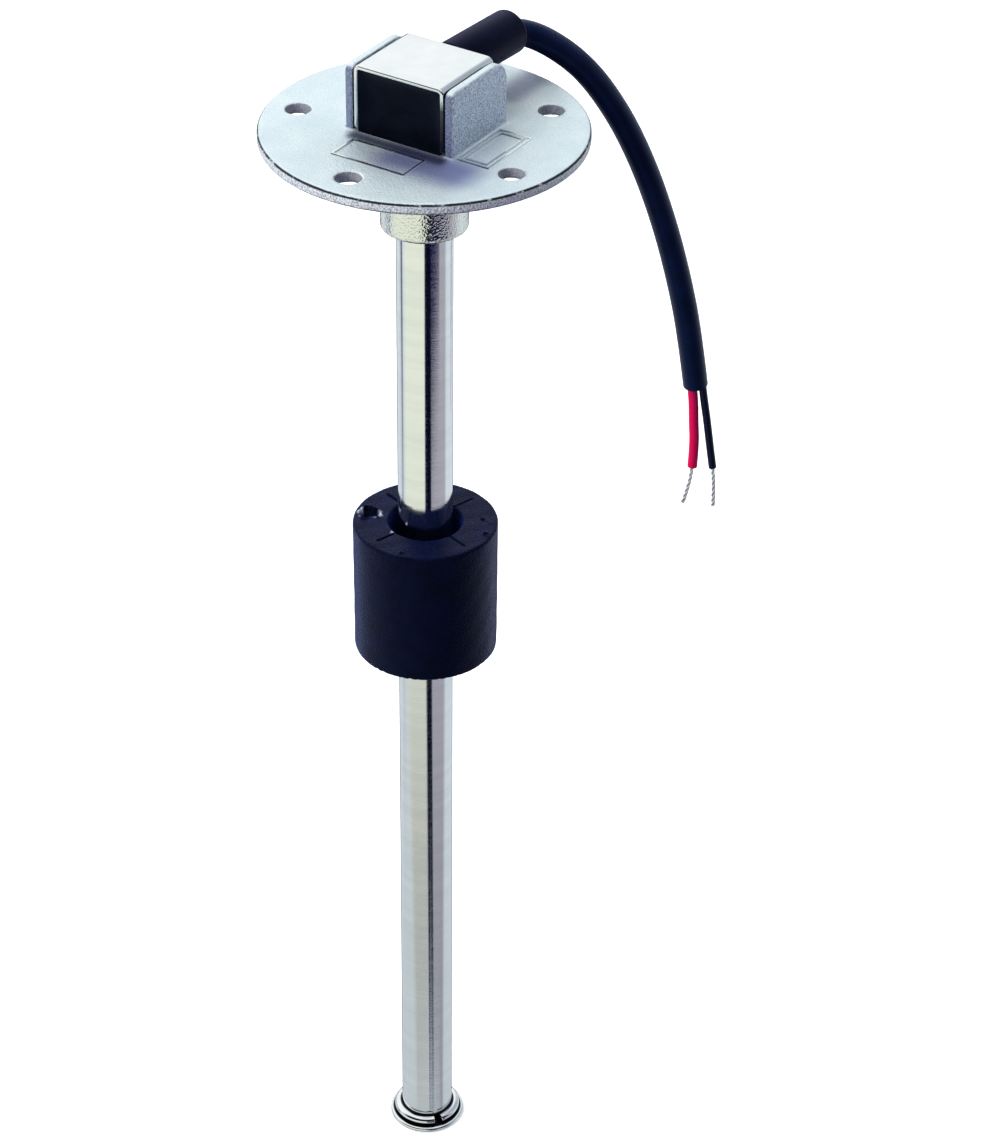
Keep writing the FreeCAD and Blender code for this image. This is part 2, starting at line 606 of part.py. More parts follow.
def make_sensor_chain():
    """Board on the end plug, in its sleeve, with a row of reed switches and chip resistors."""
    board = new_body("sensor_board")
    board_sketch = new_sketch(board, "board_outline", "XZ_Plane")
    add_outline(board_sketch, [
        ("0 - board_width / 2", PLUG_TOP),
        ("board_width / 2", PLUG_TOP),
        ("board_width / 2", BOARD_TOP),
        ("0 - board_width / 2", BOARD_TOP),
    ])
    pad(board, "board_strip", board_sketch, "board_thickness", "Symmetric")

    sleeve_outside = f"{TUBE_BORE} - sleeve_clearance"
    turned("board_sleeve", [
        (f"{sleeve_outside} - sleeve_wall", PLUG_TOP),
        (sleeve_outside, PLUG_TOP),
        (sleeve_outside, BOARD_TOP),
        (f"{sleeve_outside} - sleeve_wall", BOARD_TOP),
    ])

    room = value(f"{BOARD_TOP} - wire_overlap - reed_length - {FIRST_REED}")
    reed_count = 1 + math.floor(room / value("reed_pitch"))

    reeds = new_body("reed_switches")
    capsule_sketch = new_sketch(reeds, "capsule_section", "XZ_Plane", f"0 - {REED_AXIS}")
    capsule_bottom = f"{FIRST_REED} - reed_length / 2"
    capsule_top = f"{FIRST_REED} + reed_length / 2"
    add_outline(capsule_sketch, [
        ("0", capsule_bottom),
        ("lead_wire", capsule_bottom),
        ("reed_diameter / 2", f"{capsule_bottom} + reed_seal"),
        ("reed_diameter / 2", f"{capsule_top} - reed_seal"),
        ("lead_wire", capsule_top),
        ("0", capsule_top),
    ])
    capsule = revolve(reeds, "capsule", capsule_sketch)
    row = pattern(reeds, "capsule_row", capsule, reed_count, "LinearPattern", "Z_Axis")
    bind(row, "Offset", "reed_pitch")

    leads = new_body("reed_leads")
    lead_sketch = new_sketch(leads, "lead_outline", "YZ_Plane")
    wire_front = f"{REED_AXIS} - lead_wire / 2"
    wire_back = f"{REED_AXIS} + lead_wire / 2"
    board_front = f"0 - {BOARD_BACK}"
    for end, sign in ((capsule_bottom, "-"), (capsule_top, "+")):
        foot = f"{end} {sign} lead_reach"
        inside_bend = f"{end} {sign} (lead_reach - lead_wire)"
        add_outline(lead_sketch, [
            (wire_front, end),
            (wire_back, end),
            (wire_back, inside_bend),
            (board_front, inside_bend),
            (board_front, foot),
            (wire_front, foot),
        ])
    lead_pair = pad(leads, "lead_pair", lead_sketch, "lead_wire", "Symmetric")
    lead_row = pattern(leads, "lead_row", lead_pair, reed_count, "LinearPattern", "Z_Axis")
    bind(lead_row, "Offset", "reed_pitch")

    chips = new_body("chain_resistors")
    chip_sketch = new_sketch(chips, "chip_outline", "XZ_Plane", f"0 - {BOARD_BACK} - chip_height")
    chip_bottom = f"{FIRST_REED} - chip_length / 2"
    chip_top = f"{FIRST_REED} + chip_length / 2"
    add_outline(chip_sketch, [
        ("0 - chip_width / 2", chip_bottom),
        ("chip_width / 2", chip_bottom),
        ("chip_width / 2", chip_top),
        ("0 - chip_width / 2", chip_top),
    ])
    chip = pad(chips, "chip", chip_sketch, "chip_height")
    chip_row = pattern(chips, "chip_row", chip, reed_count, "LinearPattern", "Z_Axis")
    bind(chip_row, "Offset", "reed_pitch")


def check_and_write(labels):
    """Stops on any failed object or bad shape, then writes one file for each node."""
    doc.recompute()
    for item in doc.Objects:
        if "Invalid" in item.State or "Error" in item.State:
            raise RuntimeError(f"{item.Label} failed: {item.State}")
    nodes = [doc.getObjectsByLabel(label)[0] for label in labels]
    for node in nodes:
        if node.Shape.isNull() or not node.Shape.isValid() or node.Shape.Volume <= 0:
            raise RuntimeError(f"{node.Label} has no valid shape")
    os.makedirs("parts", exist_ok=True)
    for node in nodes:
        node.Shape.exportStep(os.path.join("parts", f"{node.Label}.step"))
        print(f"{node.Label}: {len(node.Shape.Solids)} solids, {node.Shape.Volume:.1f} mm3")


make_flange_casting()
make_head_cover()
cable_boot = make_cable_boot()
head_leads = make_leads()
make_head_potting(cable_boot, head_leads)
make_cable()
make_stem()
make_float()
make_sensor_chain()
check_and_write([
    "flange_casting", "head_cover", "head_potting", "cable_boot",
    "cable", "red_core", "black_core", "red_strands", "black_strands",
    "stem_tube", "end_plug", "retaining_ring", "float", "float_magnet",
    "sensor_board", "board_sleeve", "reed_switches", "reed_leads", "chain_resistors",
    "red_lead", "black_lead",
])
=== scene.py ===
"""Looks of a tank level sender: cast flange, potted head, polished stem, foam float and hanging cable."""
import math

import bmesh
import bpy
import numpy as np
from mathutils import Matrix, Vector


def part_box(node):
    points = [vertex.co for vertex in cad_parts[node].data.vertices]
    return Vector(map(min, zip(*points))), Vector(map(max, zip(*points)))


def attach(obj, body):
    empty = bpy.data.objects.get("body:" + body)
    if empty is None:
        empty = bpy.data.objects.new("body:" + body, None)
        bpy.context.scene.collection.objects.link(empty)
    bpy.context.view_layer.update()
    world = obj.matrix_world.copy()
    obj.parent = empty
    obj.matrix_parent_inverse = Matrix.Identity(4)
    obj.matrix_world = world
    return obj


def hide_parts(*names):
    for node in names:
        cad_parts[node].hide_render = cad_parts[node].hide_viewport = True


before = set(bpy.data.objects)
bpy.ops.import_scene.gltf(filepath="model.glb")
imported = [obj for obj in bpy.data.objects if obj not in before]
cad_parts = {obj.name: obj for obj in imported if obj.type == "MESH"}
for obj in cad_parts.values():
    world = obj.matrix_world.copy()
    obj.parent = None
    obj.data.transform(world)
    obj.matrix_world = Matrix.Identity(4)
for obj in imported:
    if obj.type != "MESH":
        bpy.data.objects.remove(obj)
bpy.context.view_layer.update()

MM = 0.001
STEM = "stem_assembly"
FLOAT = "float_assembly"

# Sizes that the frame gives, in metres
FLANGE_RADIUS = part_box("flange_casting")[1].x
COVER_LOW, COVER_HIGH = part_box("head_cover")
POTTING_LOW, POTTING_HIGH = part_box("head_potting")
TUBE_LOW, TUBE_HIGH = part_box("stem_tube")
PLUG_LOW, PLUG_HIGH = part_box("end_plug")
RING_LOW, RING_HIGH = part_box("retaining_ring")
FLOAT_LOW, FLOAT_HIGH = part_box("float")

# Sizes that the frame's boxes don't give, in millimetres, and the boot's lean in degrees
FLANGE_THICKNESS = 2.5
SHEET = 1.0
TUBE_WALL = 1.0
BOOT_DROP = 4.85
BOOT_LENGTH = 21
BOOT_SOCKET = 6
BOOT_LEAN = 3.5
CABLE = 5.7
FLOAT_BORE = 16.3
FLOAT_TAPER = 0.2

# Less than this is no length, in millimetres
NIL = 1e-6
SHARP_ANGLE = math.radians(40)
CAMERA_BEARING = -56.2


def srgb(code):
    """Linear colour from an sRGB hex value."""
    channels = [int(code[start:start + 2], 16) / 255 for start in (1, 3, 5)]
    linear = [part / 12.92 if part <= 0.04045 else ((part + 0.055) / 1.055) ** 2.4 for part in channels]
    return (*linear, 1.0)


def per_mm(size):
    """Scale of a pattern whose marks are this many millimetres apart."""
    return 1 / (size * MM)


def rise(elevation):
    """Upward part of a unit vector at an elevation in degrees."""
    return math.sin(math.radians(elevation))


def direction(bearing, elevation):
    """Unit vector towards a bearing and an elevation in degrees."""
    turn = math.radians(bearing)
    level = math.cos(math.radians(elevation))
    return Vector((math.cos(turn) * level, math.sin(turn) * level, rise(elevation)))


def add(tree, kind, inputs=None, stops=None, **settings):
    """Adds a node: its settings, its colour stops, then each input from a node, a socket or a constant.

    A kind without "Node" in its name is a shader's. Of a node, the first output in use is taken. A Mix node
    takes numbers at its inputs 2 and 3, and colours at 6 and 7.
    """
    made = tree.nodes.new(kind if "Node" in kind else f"ShaderNode{kind}")
    for name, setting in settings.items():
        setattr(made, name, setting)
    if stops:
        ramp = made.color_ramp
        while len(ramp.elements) < len(stops):
            ramp.elements.new(1)
        for element, (place, colour) in zip(ramp.elements, stops):
            element.position = place
            element.color = srgb(colour)
    for key, given in (inputs or {}).items():
        if isinstance(given, bpy.types.Node):
            given = next(output for output in given.outputs if output.enabled)
        if isinstance(given, bpy.types.NodeSocket):
            tree.links.new(given, made.inputs[key])
        else:
            made.inputs[key].default_value = given
    return made


def bare_tree(owner):
    """The node tree of a new material or world, emptied."""
    owner.use_nodes = True
    owner.node_tree.nodes.clear()
    return owner.node_tree


# Materials

def surface(name, dark, light, mottle, grain, height, roughness, stretch=(1, 1, 1), **constants):
    """A finish with mottled colour, and fine grain in its bump and roughness.

    The sizes of the mottling and the grain and the grain's height are in millimetres. Roughness is its least
    and its greatest, and constants go to the shader's own sockets.
    """
    material = bpy.data.materials.new(name)
    tree = bare_tree(material)
    noise_low, noise_high = 0.3, 0.7
    place = add(tree, "TexCoord").outputs["Object"]
    drawn = add(tree, "Mapping", {"Vector": place, "Scale": stretch})
    clouds = add(tree, "TexNoise", {"Vector": drawn, "Scale": per_mm(mottle), "Detail": 3.0})
    grains = add(tree, "TexNoise", {"Vector": drawn, "Scale": per_mm(grain), "Detail": 2.0})
    colour = add(tree, "ValToRGB", {"Fac": clouds}, [(noise_low, dark), (noise_high, light)])
    dullness = add(tree, "MapRange", {
        "Value": grains, "From Min": noise_low, "From Max": noise_high,
        "To Min": roughness[0], "To Max": roughness[1],
    })
    relief = add(tree, "Bump", {"Height": grains, "Distance": height * MM, "Strength": 1.0})
    shader = add(tree, "BsdfPrincipled", {
        "Base Color": colour, "Roughness": dullness, "Normal": relief, **constants,
    })
    add(tree, "OutputMaterial", {"Surface": shader})
    return material


def stain(material, share, colour):
    """Lays a colour over a finish where the share is 1, and leaves it where the share is 0."""
    tree = material.node_tree
    base = tree.nodes["Principled BSDF"].inputs["Base Color"]
    clean = base.links[0].from_socket
    mixed = add(tree, "Mix", {"Factor": share, 6: clean, 7: srgb(colour)}, data_type="RGBA")
    tree.links.new(mixed.outputs[2], base)


def cast_stainless():
    """Investment-cast stainless steel: blasted bright on top, coarser on the ears, a bright pebbled neck, and
    painted shade.
    """
    # The blasted grain is drawn coarser than it is, so that it shows
    material = surface("cast_stainless_blasted", "#D9EAEE", "#E7F4F6", 7, 0.45, 0.13, (0.4, 0.56))
    tree = material.node_tree
    coordinates = add(tree, "TexCoord").outputs
    place = coordinates["Object"]
    parts = add(tree, "SeparateXYZ", {0: place}).outputs
    facing = add(tree, "SeparateXYZ", {0: coordinates["Normal"]}).outputs
    neck_top = -1 * MM
    ears_foot = 2.9 * MM
    level = add(tree, "Math", {0: facing["Z"]}, operation="ABSOLUTE")
    upright = add(tree, "MapRange", {"Value": level, "From Min": 0.75, "From Max": 0.25})
    on_neck = add(tree, "Math", {0: parts["Z"], 1: neck_top}, operation="LESS_THAN")
    on_ears = add(tree, "Math", {0: parts["Z"], 1: ears_foot}, operation="GREATER_THAN")
    off_ears = add(tree, "Math", {0: upright, 1: on_ears}, operation="SUBTRACT", use_clamp=True)
    flat = add(tree, "VectorMath", {0: place, 1: (1, 1, 0)}, operation="MULTIPLY")
    radius = add(tree, "VectorMath", {0: flat}, operation="LENGTH")

    # Painted shade and reflection on the top: a lilac patch that stands for the head's dark front mirrored
    # before it, a painted shadow at its foot and painted shade under the boot. Each has the middle and half
    # size of a box, how far the shade reaches past it, how deep it is, and its colour
    raised = add(tree, "Math", {0: upright, 1: on_ears}, operation="MAXIMUM")
    for middle, half, reach, depth, tint in (
        ((10, -14, 0), (7, 1.5, 0), 8, 0.8, "#6E74B4"),
        ((0.8, -11.2, 0), (10.4, 0.3, 0), 2.4, 0.85, "#30325C"),
        ((6.5, 27, 0), (0.8, 6, 0), 4.5, 0.55, "#5E629C"),
    ):
        offset = add(tree, "VectorMath", {0: flat, 1: Vector(middle) * MM}, operation="SUBTRACT")
        apart = add(tree, "VectorMath", {0: offset}, operation="ABSOLUTE")
        beyond = add(tree, "VectorMath", {0: apart, 1: Vector(half) * MM}, operation="SUBTRACT")
        outside = add(tree, "VectorMath", {0: beyond, 1: (0, 0, 0)}, operation="MAXIMUM")
        distance = add(tree, "VectorMath", {0: outside}, operation="LENGTH")
        near = add(tree, "MapRange", {
            "Value": distance, "From Max": reach * MM, "To Min": depth, "To Max": 0.0,
        }, interpolation_type="SMOOTHSTEP")
        share = add(tree, "Math", {0: near, 1: raised}, operation="SUBTRACT", use_clamp=True)
        stain(material, share, tint)

    # Fronts of the ears and walls of the holes, where shade is painted, and specks that are thickest on
    # upright faces
    frontal = add(tree, "MapRange", {"Value": facing["Y"], "From Min": -0.6, "From Max": -0.9})
    inward = add(tree, "MapRange", {
        "Value": radius, "From Min": FLANGE_RADIUS - 1.2 * MM, "From Max": FLANGE_RADIUS - 1.5 * MM,
    })
    specks = add(tree, "TexNoise", {"Vector": place, "Scale": per_mm(0.36), "Detail": 1.0})
    dark_specks = add(tree, "MapRange", {"Value": specks, "From Min": 0.48, "From Max": 0.62, "To Max": 0.72})
    rougher = add(tree, "MapRange", {"Value": upright, "To Min": 0.2})

    # Painted shade in the seams beside the cover, and a broken dark line along the top edge, a painted
    # reflection
    cover_middle = 0.12 * MM
    off_middle = add(tree, "Math", {0: parts["X"], 1: cover_middle}, operation="SUBTRACT")
    beside = add(tree, "Math", {0: off_middle}, operation="ABSOLUTE")
    seam = add(tree, "MapRange", {
        "Value": beside, "From Min": COVER_HIGH.x + 0.45 * MM, "From Max": COVER_HIGH.x + 0.3 * MM,
    })
    outermost = add(tree, "MapRange", {
        "Value": radius, "From Min": FLANGE_RADIUS - 0.4 * MM, "From Max": FLANGE_RADIUS - 0.25 * MM,
    })
    uppermost = add(tree, "MapRange", {"Value": parts["Z"], "From Min": 1.9 * MM, "From Max": 2.05 * MM})
    wander = add(tree, "TexNoise", {"Vector": place, "Scale": per_mm(2.5), "Detail": 3.0})
    broken = add(tree, "MapRange", {"Value": wander, "From Min": 0.3, "From Max": 0.44})
    edge = add(tree, "Math", {0: outermost, 1: uppermost}, operation="MULTIPLY")

    # Each stain shows where two shares meet: pale rim, ears greyed by painted shade and darker on their
    # fronts, painted shade on the hole walls, specks, a clean neck, painted shade in the seams and the edge's
    # painted line
    for share, within, tint in (
        (upright, 1.0, "#F4F9FB"), (upright, on_ears, "#D6E0F0"), (frontal, on_ears, "#98A0C0"),
        (inward, off_ears, "#A2A4AC"), (dark_specks, rougher, "#7C8298"), (on_neck, 1.0, "#EEF0EA"),
        (seam, on_ears, "#0C0C14"), (edge, broken, "#20222C"),
    ):
        stain(material, add(tree, "Math", {0: share, 1: within}, operation="MULTIPLY"), tint)
    roughen_casting(tree, place, upright, on_ears, off_ears, on_neck)
    return material


def roughen_casting(tree, place, upright, on_ears, off_ears, on_neck):
    """Bare bright metal on the casting's neck, duller scale elsewhere, and the relief of each."""
    sockets = tree.nodes["Principled BSDF"].inputs
    scaled = add(tree, "Mix", {"Factor": off_ears, 2: 0.7, 3: 0.12})
    metal = add(tree, "Mix", {"Factor": on_neck, 2: scaled, 3: 0.97})
    satin = sockets["Roughness"].links[0].from_socket
    brighter = add(tree, "Mix", {"Factor": upright, 2: satin, 3: 0.26})
    dullness = add(tree, "Mix", {"Factor": on_neck, 2: brighter, 3: 0.09})

    # Coarser pits on upright faces, and round pebbles on the neck
    grains = add(tree, "TexNoise", {"Vector": place, "Scale": per_mm(0.5), "Detail": 1.0})
    pebbles = add(tree, "TexVoronoi", {
        "Vector": place, "Scale": per_mm(0.5), "Smoothness": 0.35,
    }, feature="SMOOTH_F1")
    coarse = add(tree, "Mix", {"Factor": on_neck, 2: grains, 3: pebbles})
    pit_depth = add(tree, "Mix", {"Factor": on_ears, 2: 0.16 * MM, 3: 0.3 * MM})
    depth = add(tree, "Mix", {"Factor": on_neck, 2: pit_depth, 3: 0.07 * MM})
    pits = add(tree, "Math", {0: coarse, 1: depth}, operation="MULTIPLY")
    deep = add(tree, "Math", {0: pits, 1: upright}, operation="MULTIPLY")
    fine = sockets["Normal"].links[0].from_node
    calm = add(tree, "Mix", {"Factor": on_neck, 2: 1.0, 3: 0.3})
    relief = add(tree, "Bump", {"Height": deep, "Distance": 1.0, "Strength": 1.0, "Normal": fine})
    for made, socket in (
        (metal, sockets["Metallic"]), (dullness, sockets["Roughness"]),
        (calm, fine.inputs["Strength"]), (relief, sockets["Normal"]),
    ):
        tree.links.new(made.outputs[0], socket)


def polished_stainless():
    """Stainless sheet, buffed: mirror bright and faintly clouded, darker down the front edge of one leg."""
    # The buffing marks are drawn coarser than they are, so that they show
    material = surface("stainless_buffed", "#EDF3F4", "#F7FBFB", 5, 0.3, 0.002, (0.14, 0.24), Metallic=1.0)
    tree = material.node_tree
    depth = 0.2 * MM
    place = add(tree, "TexCoord").outputs["Object"]
    parts = add(tree, "SeparateXYZ", {0: place}).outputs
    # Darker down the lower front edge of the right leg
    right = add(tree, "Math", {0: parts["X"], 1: POTTING_HIGH.x - depth}, operation="GREATER_THAN")
    front = add(tree, "Math", {0: parts["Y"], 1: COVER_LOW.y + depth}, operation="LESS_THAN")
    low = add(tree, "MapRange", {
        "Value": parts["Z"], "From Min": 15 * MM, "From Max": 12.5 * MM, "To Max": 0.9,
    })
    edge = add(tree, "Math", {0: right, 1: front}, operation="MULTIPLY")
    darkened_edge = add(tree, "Math", {0: edge, 1: low}, operation="MULTIPLY")
    stain(material, darkened_edge, "#0A0C14")
    return material


def foot_stainless():
    """Stainless foot, turned and buffed: mirror bright, with painted shade round the ring."""
    # The buffing marks are drawn coarser than they are, so that they show
    material = surface("stainless_turned_buffed", "#EDF1F2", "#F7FAFA", 5, 0.3, 0.002, (0.07, 0.14),
                       Metallic=1.0)
    tree = material.node_tree
    place = add(tree, "TexCoord").outputs["Object"]
    parts = add(tree, "SeparateXYZ", {0: place}).outputs
    flat = add(tree, "VectorMath", {0: place, 1: (1, 1, 0)}, operation="MULTIPLY")
    radius = add(tree, "VectorMath", {0: flat}, operation="LENGTH")
    # Below a height, inside a radius and close to the tube: where each share is nought, and where it is full
    low, inner, beside = [
        add(tree, "MapRange", {"Value": measure, "From Min": nought, "From Max": full})
        for measure, nought, full in (
            (parts["Z"], RING_LOW.z + 0.8 * MM, RING_LOW.z + 0.45 * MM),
            (radius, 8.35 * MM, 8.1 * MM),
            (radius, TUBE_HIGH.x + 0.6 * MM, TUBE_HIGH.x + 0.35 * MM),
        )
    ]
    # Painted shade under the ring and beside the tube
    under = add(tree, "Math", {0: low, 1: inner}, operation="MULTIPLY")
    ring_shade = add(tree, "Math", {0: under, 1: beside}, operation="MAXIMUM")
    stain(material, ring_shade, "#16161E")
    return material


def drawn_stainless():
    """Stainless tube, drawn and polished round its girth: sharp upright bands with fine level lines."""
    # The lines are drawn coarser than they are, so that they show
    return surface("stainless_tube_drawn", "#E6E9E9", "#F1F3F2", 3, 0.18, 0.0055, (0.06, 0.14),
                   stretch=(0.1, 0.1, 1), Metallic=1.0)


def potting_resin():
    """Cast epoxy resin, black: smooth and deep, with slow ripples from setting."""
    return surface("epoxy_potting_cast", "#04060A", "#080B12", 4, 2.5, 0.03, (0.16, 0.26),
                   **{"Specular IOR Level": 0.14, "Specular Tint": srgb("#7080D8")})


def boot_rubber():
    """Moulded rubber: matt blue-black, lighter where its skin catches the light."""
    return surface("rubber_boot_moulded", "#050714", "#0A0D20", 3, 0.25, 0.02, (0.34, 0.46),
                   **{"Specular IOR Level": 0.1, "Specular Tint": srgb("#7480F0"), "Sheen Weight": 0.2,
                      "Sheen Roughness": 0.3, "Sheen Tint": srgb("#7C88F0")})


def cable_jacket():
    """Extruded PVC: smooth blue-black with a soft long highlight."""
    return surface("pvc_jacket_extruded", "#0B1832", "#122042", 6, 0.6, 0.006, (0.26, 0.36),
                   **{"Specular IOR Level": 0.2, "Specular Tint": srgb("#3858E0")})


def red_insulation():
    """Extruded PVC, red: an even, slightly waxy colour."""
    return surface("pvc_core_red", "#FF0858", "#FF1466", 2, 0.3, 0.006, (0.34, 0.46),
                   **{"Specular IOR Level": 0.2})


def black_insulation():
    """Extruded PVC, black: smooth, with a narrow highlight."""
    return surface("pvc_core_black", "#070912", "#0C1020", 2, 0.3, 0.005, (0.26, 0.36),
                   **{"Specular Tint": srgb("#6C86E8")})


def tinned_copper():
    """Tinned copper wire, drawn: silver white, with a middle wire painted near black as shade between the
    strands.
    """
    material = surface("copper_wire_tinned", "#F6F8FA", "#FFFFFF", 0.8, 0.2, 0.002, (0.2, 0.3), Metallic=0.3)
    # The groove mark paints the middle wire near black: painted shade between the strands
    groove = add(material.node_tree, "Attribute", attribute_name="groove").outputs["Fac"]
    stain(material, groove, "#08090C")
    return material


def float_foam():
    """Moulded nitrile foam with a dense skin: blue-black with a leathery grain, a pale painted highlight on
    torn edges.
    """
    material = surface("nitrile_foam_moulded", "#080C18", "#0B1129", 4, 0.35, 0.16, (0.24, 0.32),
                       **{"Specular IOR Level": 0.07, "Specular Tint": srgb("#5878FF"), "Sheen Weight": 0.5,
                          "Sheen Roughness": 0.3, "Sheen Tint": srgb("#4060EC")})
    # Painted highlight: pale on the torn edges, and pale at the chip
    torn = add(material.node_tree, "Attribute", attribute_name="torn").outputs["Fac"]
    stain(material, torn, "#C4CBE2")
    return material


# Shapes

def plain_mesh(points, faces):
    """A smooth-shaded mesh from points in millimetres."""
    mesh = bpy.data.meshes.new("skin")
    mesh.from_pydata((np.asarray(points) * MM).tolist(), [], faces)
    mesh.shade_smooth()
    mesh.set_sharp_from_angle(angle=SHARP_ANGLE)
    return mesh


def placed(name, data):
    """A new object in the scene, and its mesh, curve, lamp or lens under the same name."""
    data.name = name
    made = bpy.data.objects.new(name, data)
    bpy.context.scene.collection.objects.link(made)
    return made


def modify(source, name, kind, **settings):
    """Adds a modifier with its settings to an object."""
    made = source.modifiers.new(name, kind)
    for key, setting in settings.items():
        setattr(made, key, setting)
    return made


def evaluated_mesh(source):
    """The plain mesh that an object's modifiers come to. The object itself goes."""
    graph = bpy.context.evaluated_depsgraph_get()
    mesh = bpy.data.meshes.new_from_object(source.evaluated_get(graph))
    bpy.data.objects.remove(source)
    return mesh


def dressed(name, data, material, slot, body, *nodes):
    """Puts a finished mesh or curve on its body, in place of the solids that it stands for."""
    data.materials.clear()
    data.materials.append(material)
    made = placed(name, data)
    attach(made, body)
    if nodes:
        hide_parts(*nodes)
    return made


def rounded(corners, steps=6):
    """A closed outline of corners (across, up, rounding), with an arc at each rounded corner."""
    outline = []
    for number, (across, up, rounding) in enumerate(corners):
        corner = Vector((across, up))
        if not rounding:
            outline.append(tuple(corner))
            continue
        before = (Vector(corners[number - 1][:2]) - corner).normalized()
        after = (Vector(corners[(number + 1) % len(corners)][:2]) - corner).normalized()
        half = before.angle(after) / 2
        middle = corner + (before + after).normalized() * (rounding / math.sin(half))
        first = corner + before * (rounding / math.tan(half)) - middle
        turn = first.angle_signed(corner + after * (rounding / math.tan(half)) - middle)
        for step in range(steps + 1):
            outline.append(tuple(middle + Matrix.Rotation(-turn * step / steps, 2) @ first))
    return outline


def closed_bands(rings, around, base=0):
    """Faces of a closed tube of rings with the same count of points, the last ring joined to the first."""
    faces = []
    for ring in range(rings):
        lower = base + ring * around
        upper = base + (ring + 1) % rings * around
        for number in range(around):
            after = (number + 1) % around
            faces.append((lower + number, lower + after, upper + after, upper + number))
    return faces


def turned(outline, around=96):
    """A skin turned about Z from a closed outline of (radius, height); points on the axis become poles."""
    points = []
    rings = []
    for radius, height in outline:
        count = around if radius > NIL else 1
        rings.append([len(points) + number for number in range(count)])
        for number in range(count):
            angle = 2 * math.pi * number / around
            points.append((radius * math.cos(angle), radius * math.sin(angle), height))
    faces = []
    for lower, upper in zip(rings, rings[1:] + rings[:1]):
        for number in range(around):
            after = (number + 1) % around
            corners = [lower[number % len(lower)], lower[after % len(lower)],
                       upper[after % len(upper)], upper[number % len(upper)]]
            face = list(dict.fromkeys(corners))
            if len(face) > 2:
                faces.append(face)
    mesh = plain_mesh(points, faces)
    skin = bmesh.new()
    skin.from_mesh(mesh)
    bmesh.ops.recalc_face_normals(skin, faces=skin.faces)
    skin.to_mesh(mesh)
    skin.free()
    mesh.set_sharp_from_angle(angle=SHARP_ANGLE)
    return mesh


def node_tree(name, inputs):
    """An empty geometry tree with named inputs; gives the tree and its input node's outputs."""
    tree = bpy.data.node_groups.new(name, "GeometryNodeTree")
    tree.interface.new_socket("Geometry", in_out="INPUT", socket_type="NodeSocketGeometry")
    tree.interface.new_socket("Geometry", in_out="OUTPUT", socket_type="NodeSocketGeometry")
    for label, kind in inputs.items():
        tree.interface.new_socket(label, in_out="INPUT", socket_type=f"NodeSocket{kind}")
    return tree, add(tree, "NodeGroupInput").outputs


def finish_tree(tree, shape, material):
    """Ends a geometry tree: real geometry in its finish."""
    real = add(tree, "GeometryNodeRealizeInstances", {"Geometry": shape})
    finished = add(tree, "GeometryNodeSetMaterial", {"Geometry": real, "Material": material})
    add(tree, "NodeGroupOutput", {"Geometry": finished})


def grown(source, tree, inputs):
    """Runs a geometry tree on an object with named inputs, and gives the plain mesh."""
    modifier = modify(source, tree.name, "NODES", node_group=tree)
    for item in tree.interface.items_tree:
        if item.in_out == "INPUT" and item.name in inputs:
            modifier[item.identifier] = inputs[item.name]
    return evaluated_mesh(source)


# Flange casting

def cast_skin_tree():
    """Moves a skin along its normals: fine blasted grain on the flange, coarse dimples on the neck."""
    tree, given = node_tree("cast_skin", {
        "Grain Size": "Float", "Grain Height": "Float", "Dimple Size": "Float", "Dimple Height": "Float",
        "Neck Top": "Float", "Material": "Material",
    })
    place = add(tree, "GeometryNodeInputPosition").outputs[0]
    heights = []
    for kind in ("Grain", "Dimple"):
        scale = add(tree, "Math", {0: 1.0, 1: given[f"{kind} Size"]}, operation="DIVIDE")
        noise = add(tree, "TexNoise", {"Vector": place, "Scale": scale, "Detail": 2.0})
        centred = add(tree, "Math", {0: noise, 1: 0.5}, operation="SUBTRACT")
        heights.append(add(tree, "Math", {0: centred, 1: given[f"{kind} Height"]}, operation="MULTIPLY"))
    up = add(tree, "SeparateXYZ", {0: place}).outputs["Z"]
    on_neck = add(tree, "Math", {0: up, 1: given["Neck Top"]}, operation="LESS_THAN")
    relief = add(tree, "Mix", {"Factor": on_neck, 2: heights[0], 3: heights[1]})
    normal = add(tree, "GeometryNodeInputNormal")
    offset = add(tree, "VectorMath", {0: normal, "Scale": relief}, operation="SCALE")
    moved = add(tree, "GeometryNodeSetPosition", {"Geometry": given["Geometry"], "Offset": offset})
    smooth = add(tree, "GeometryNodeSetShadeSmooth", {"Geometry": moved})
    finish_tree(tree, smooth, given["Material"])
    return tree


def cast_flange(material):
    """The casting's own solid with its edges softened and a cast skin grown on it."""
    touching = 1e-7
    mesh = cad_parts["flange_casting"].data.copy()
    whole = bmesh.new()
    whole.from_mesh(mesh)
    bmesh.ops.remove_doubles(whole, verts=whole.verts, dist=touching)
    whole.to_mesh(mesh)
    whole.free()
    source = placed("casting_source", mesh)
    modify(source, "even_skin", "REMESH", mode="VOXEL", voxel_size=0.35 * MM)
    modify(source, "soft_edges", "SMOOTH", factor=0.5, iterations=2)
    skin = grown(source, cast_skin_tree(), {
        "Grain Size": 0.9 * MM, "Grain Height": 0.06 * MM, "Dimple Size": 1.4 * MM,
        "Dimple Height": 0.035 * MM, "Neck Top": -0.9 * MM, "Material": material,
    })
    dressed("cast_flange", skin, material, "cast_stainless", STEM, "flange_casting")


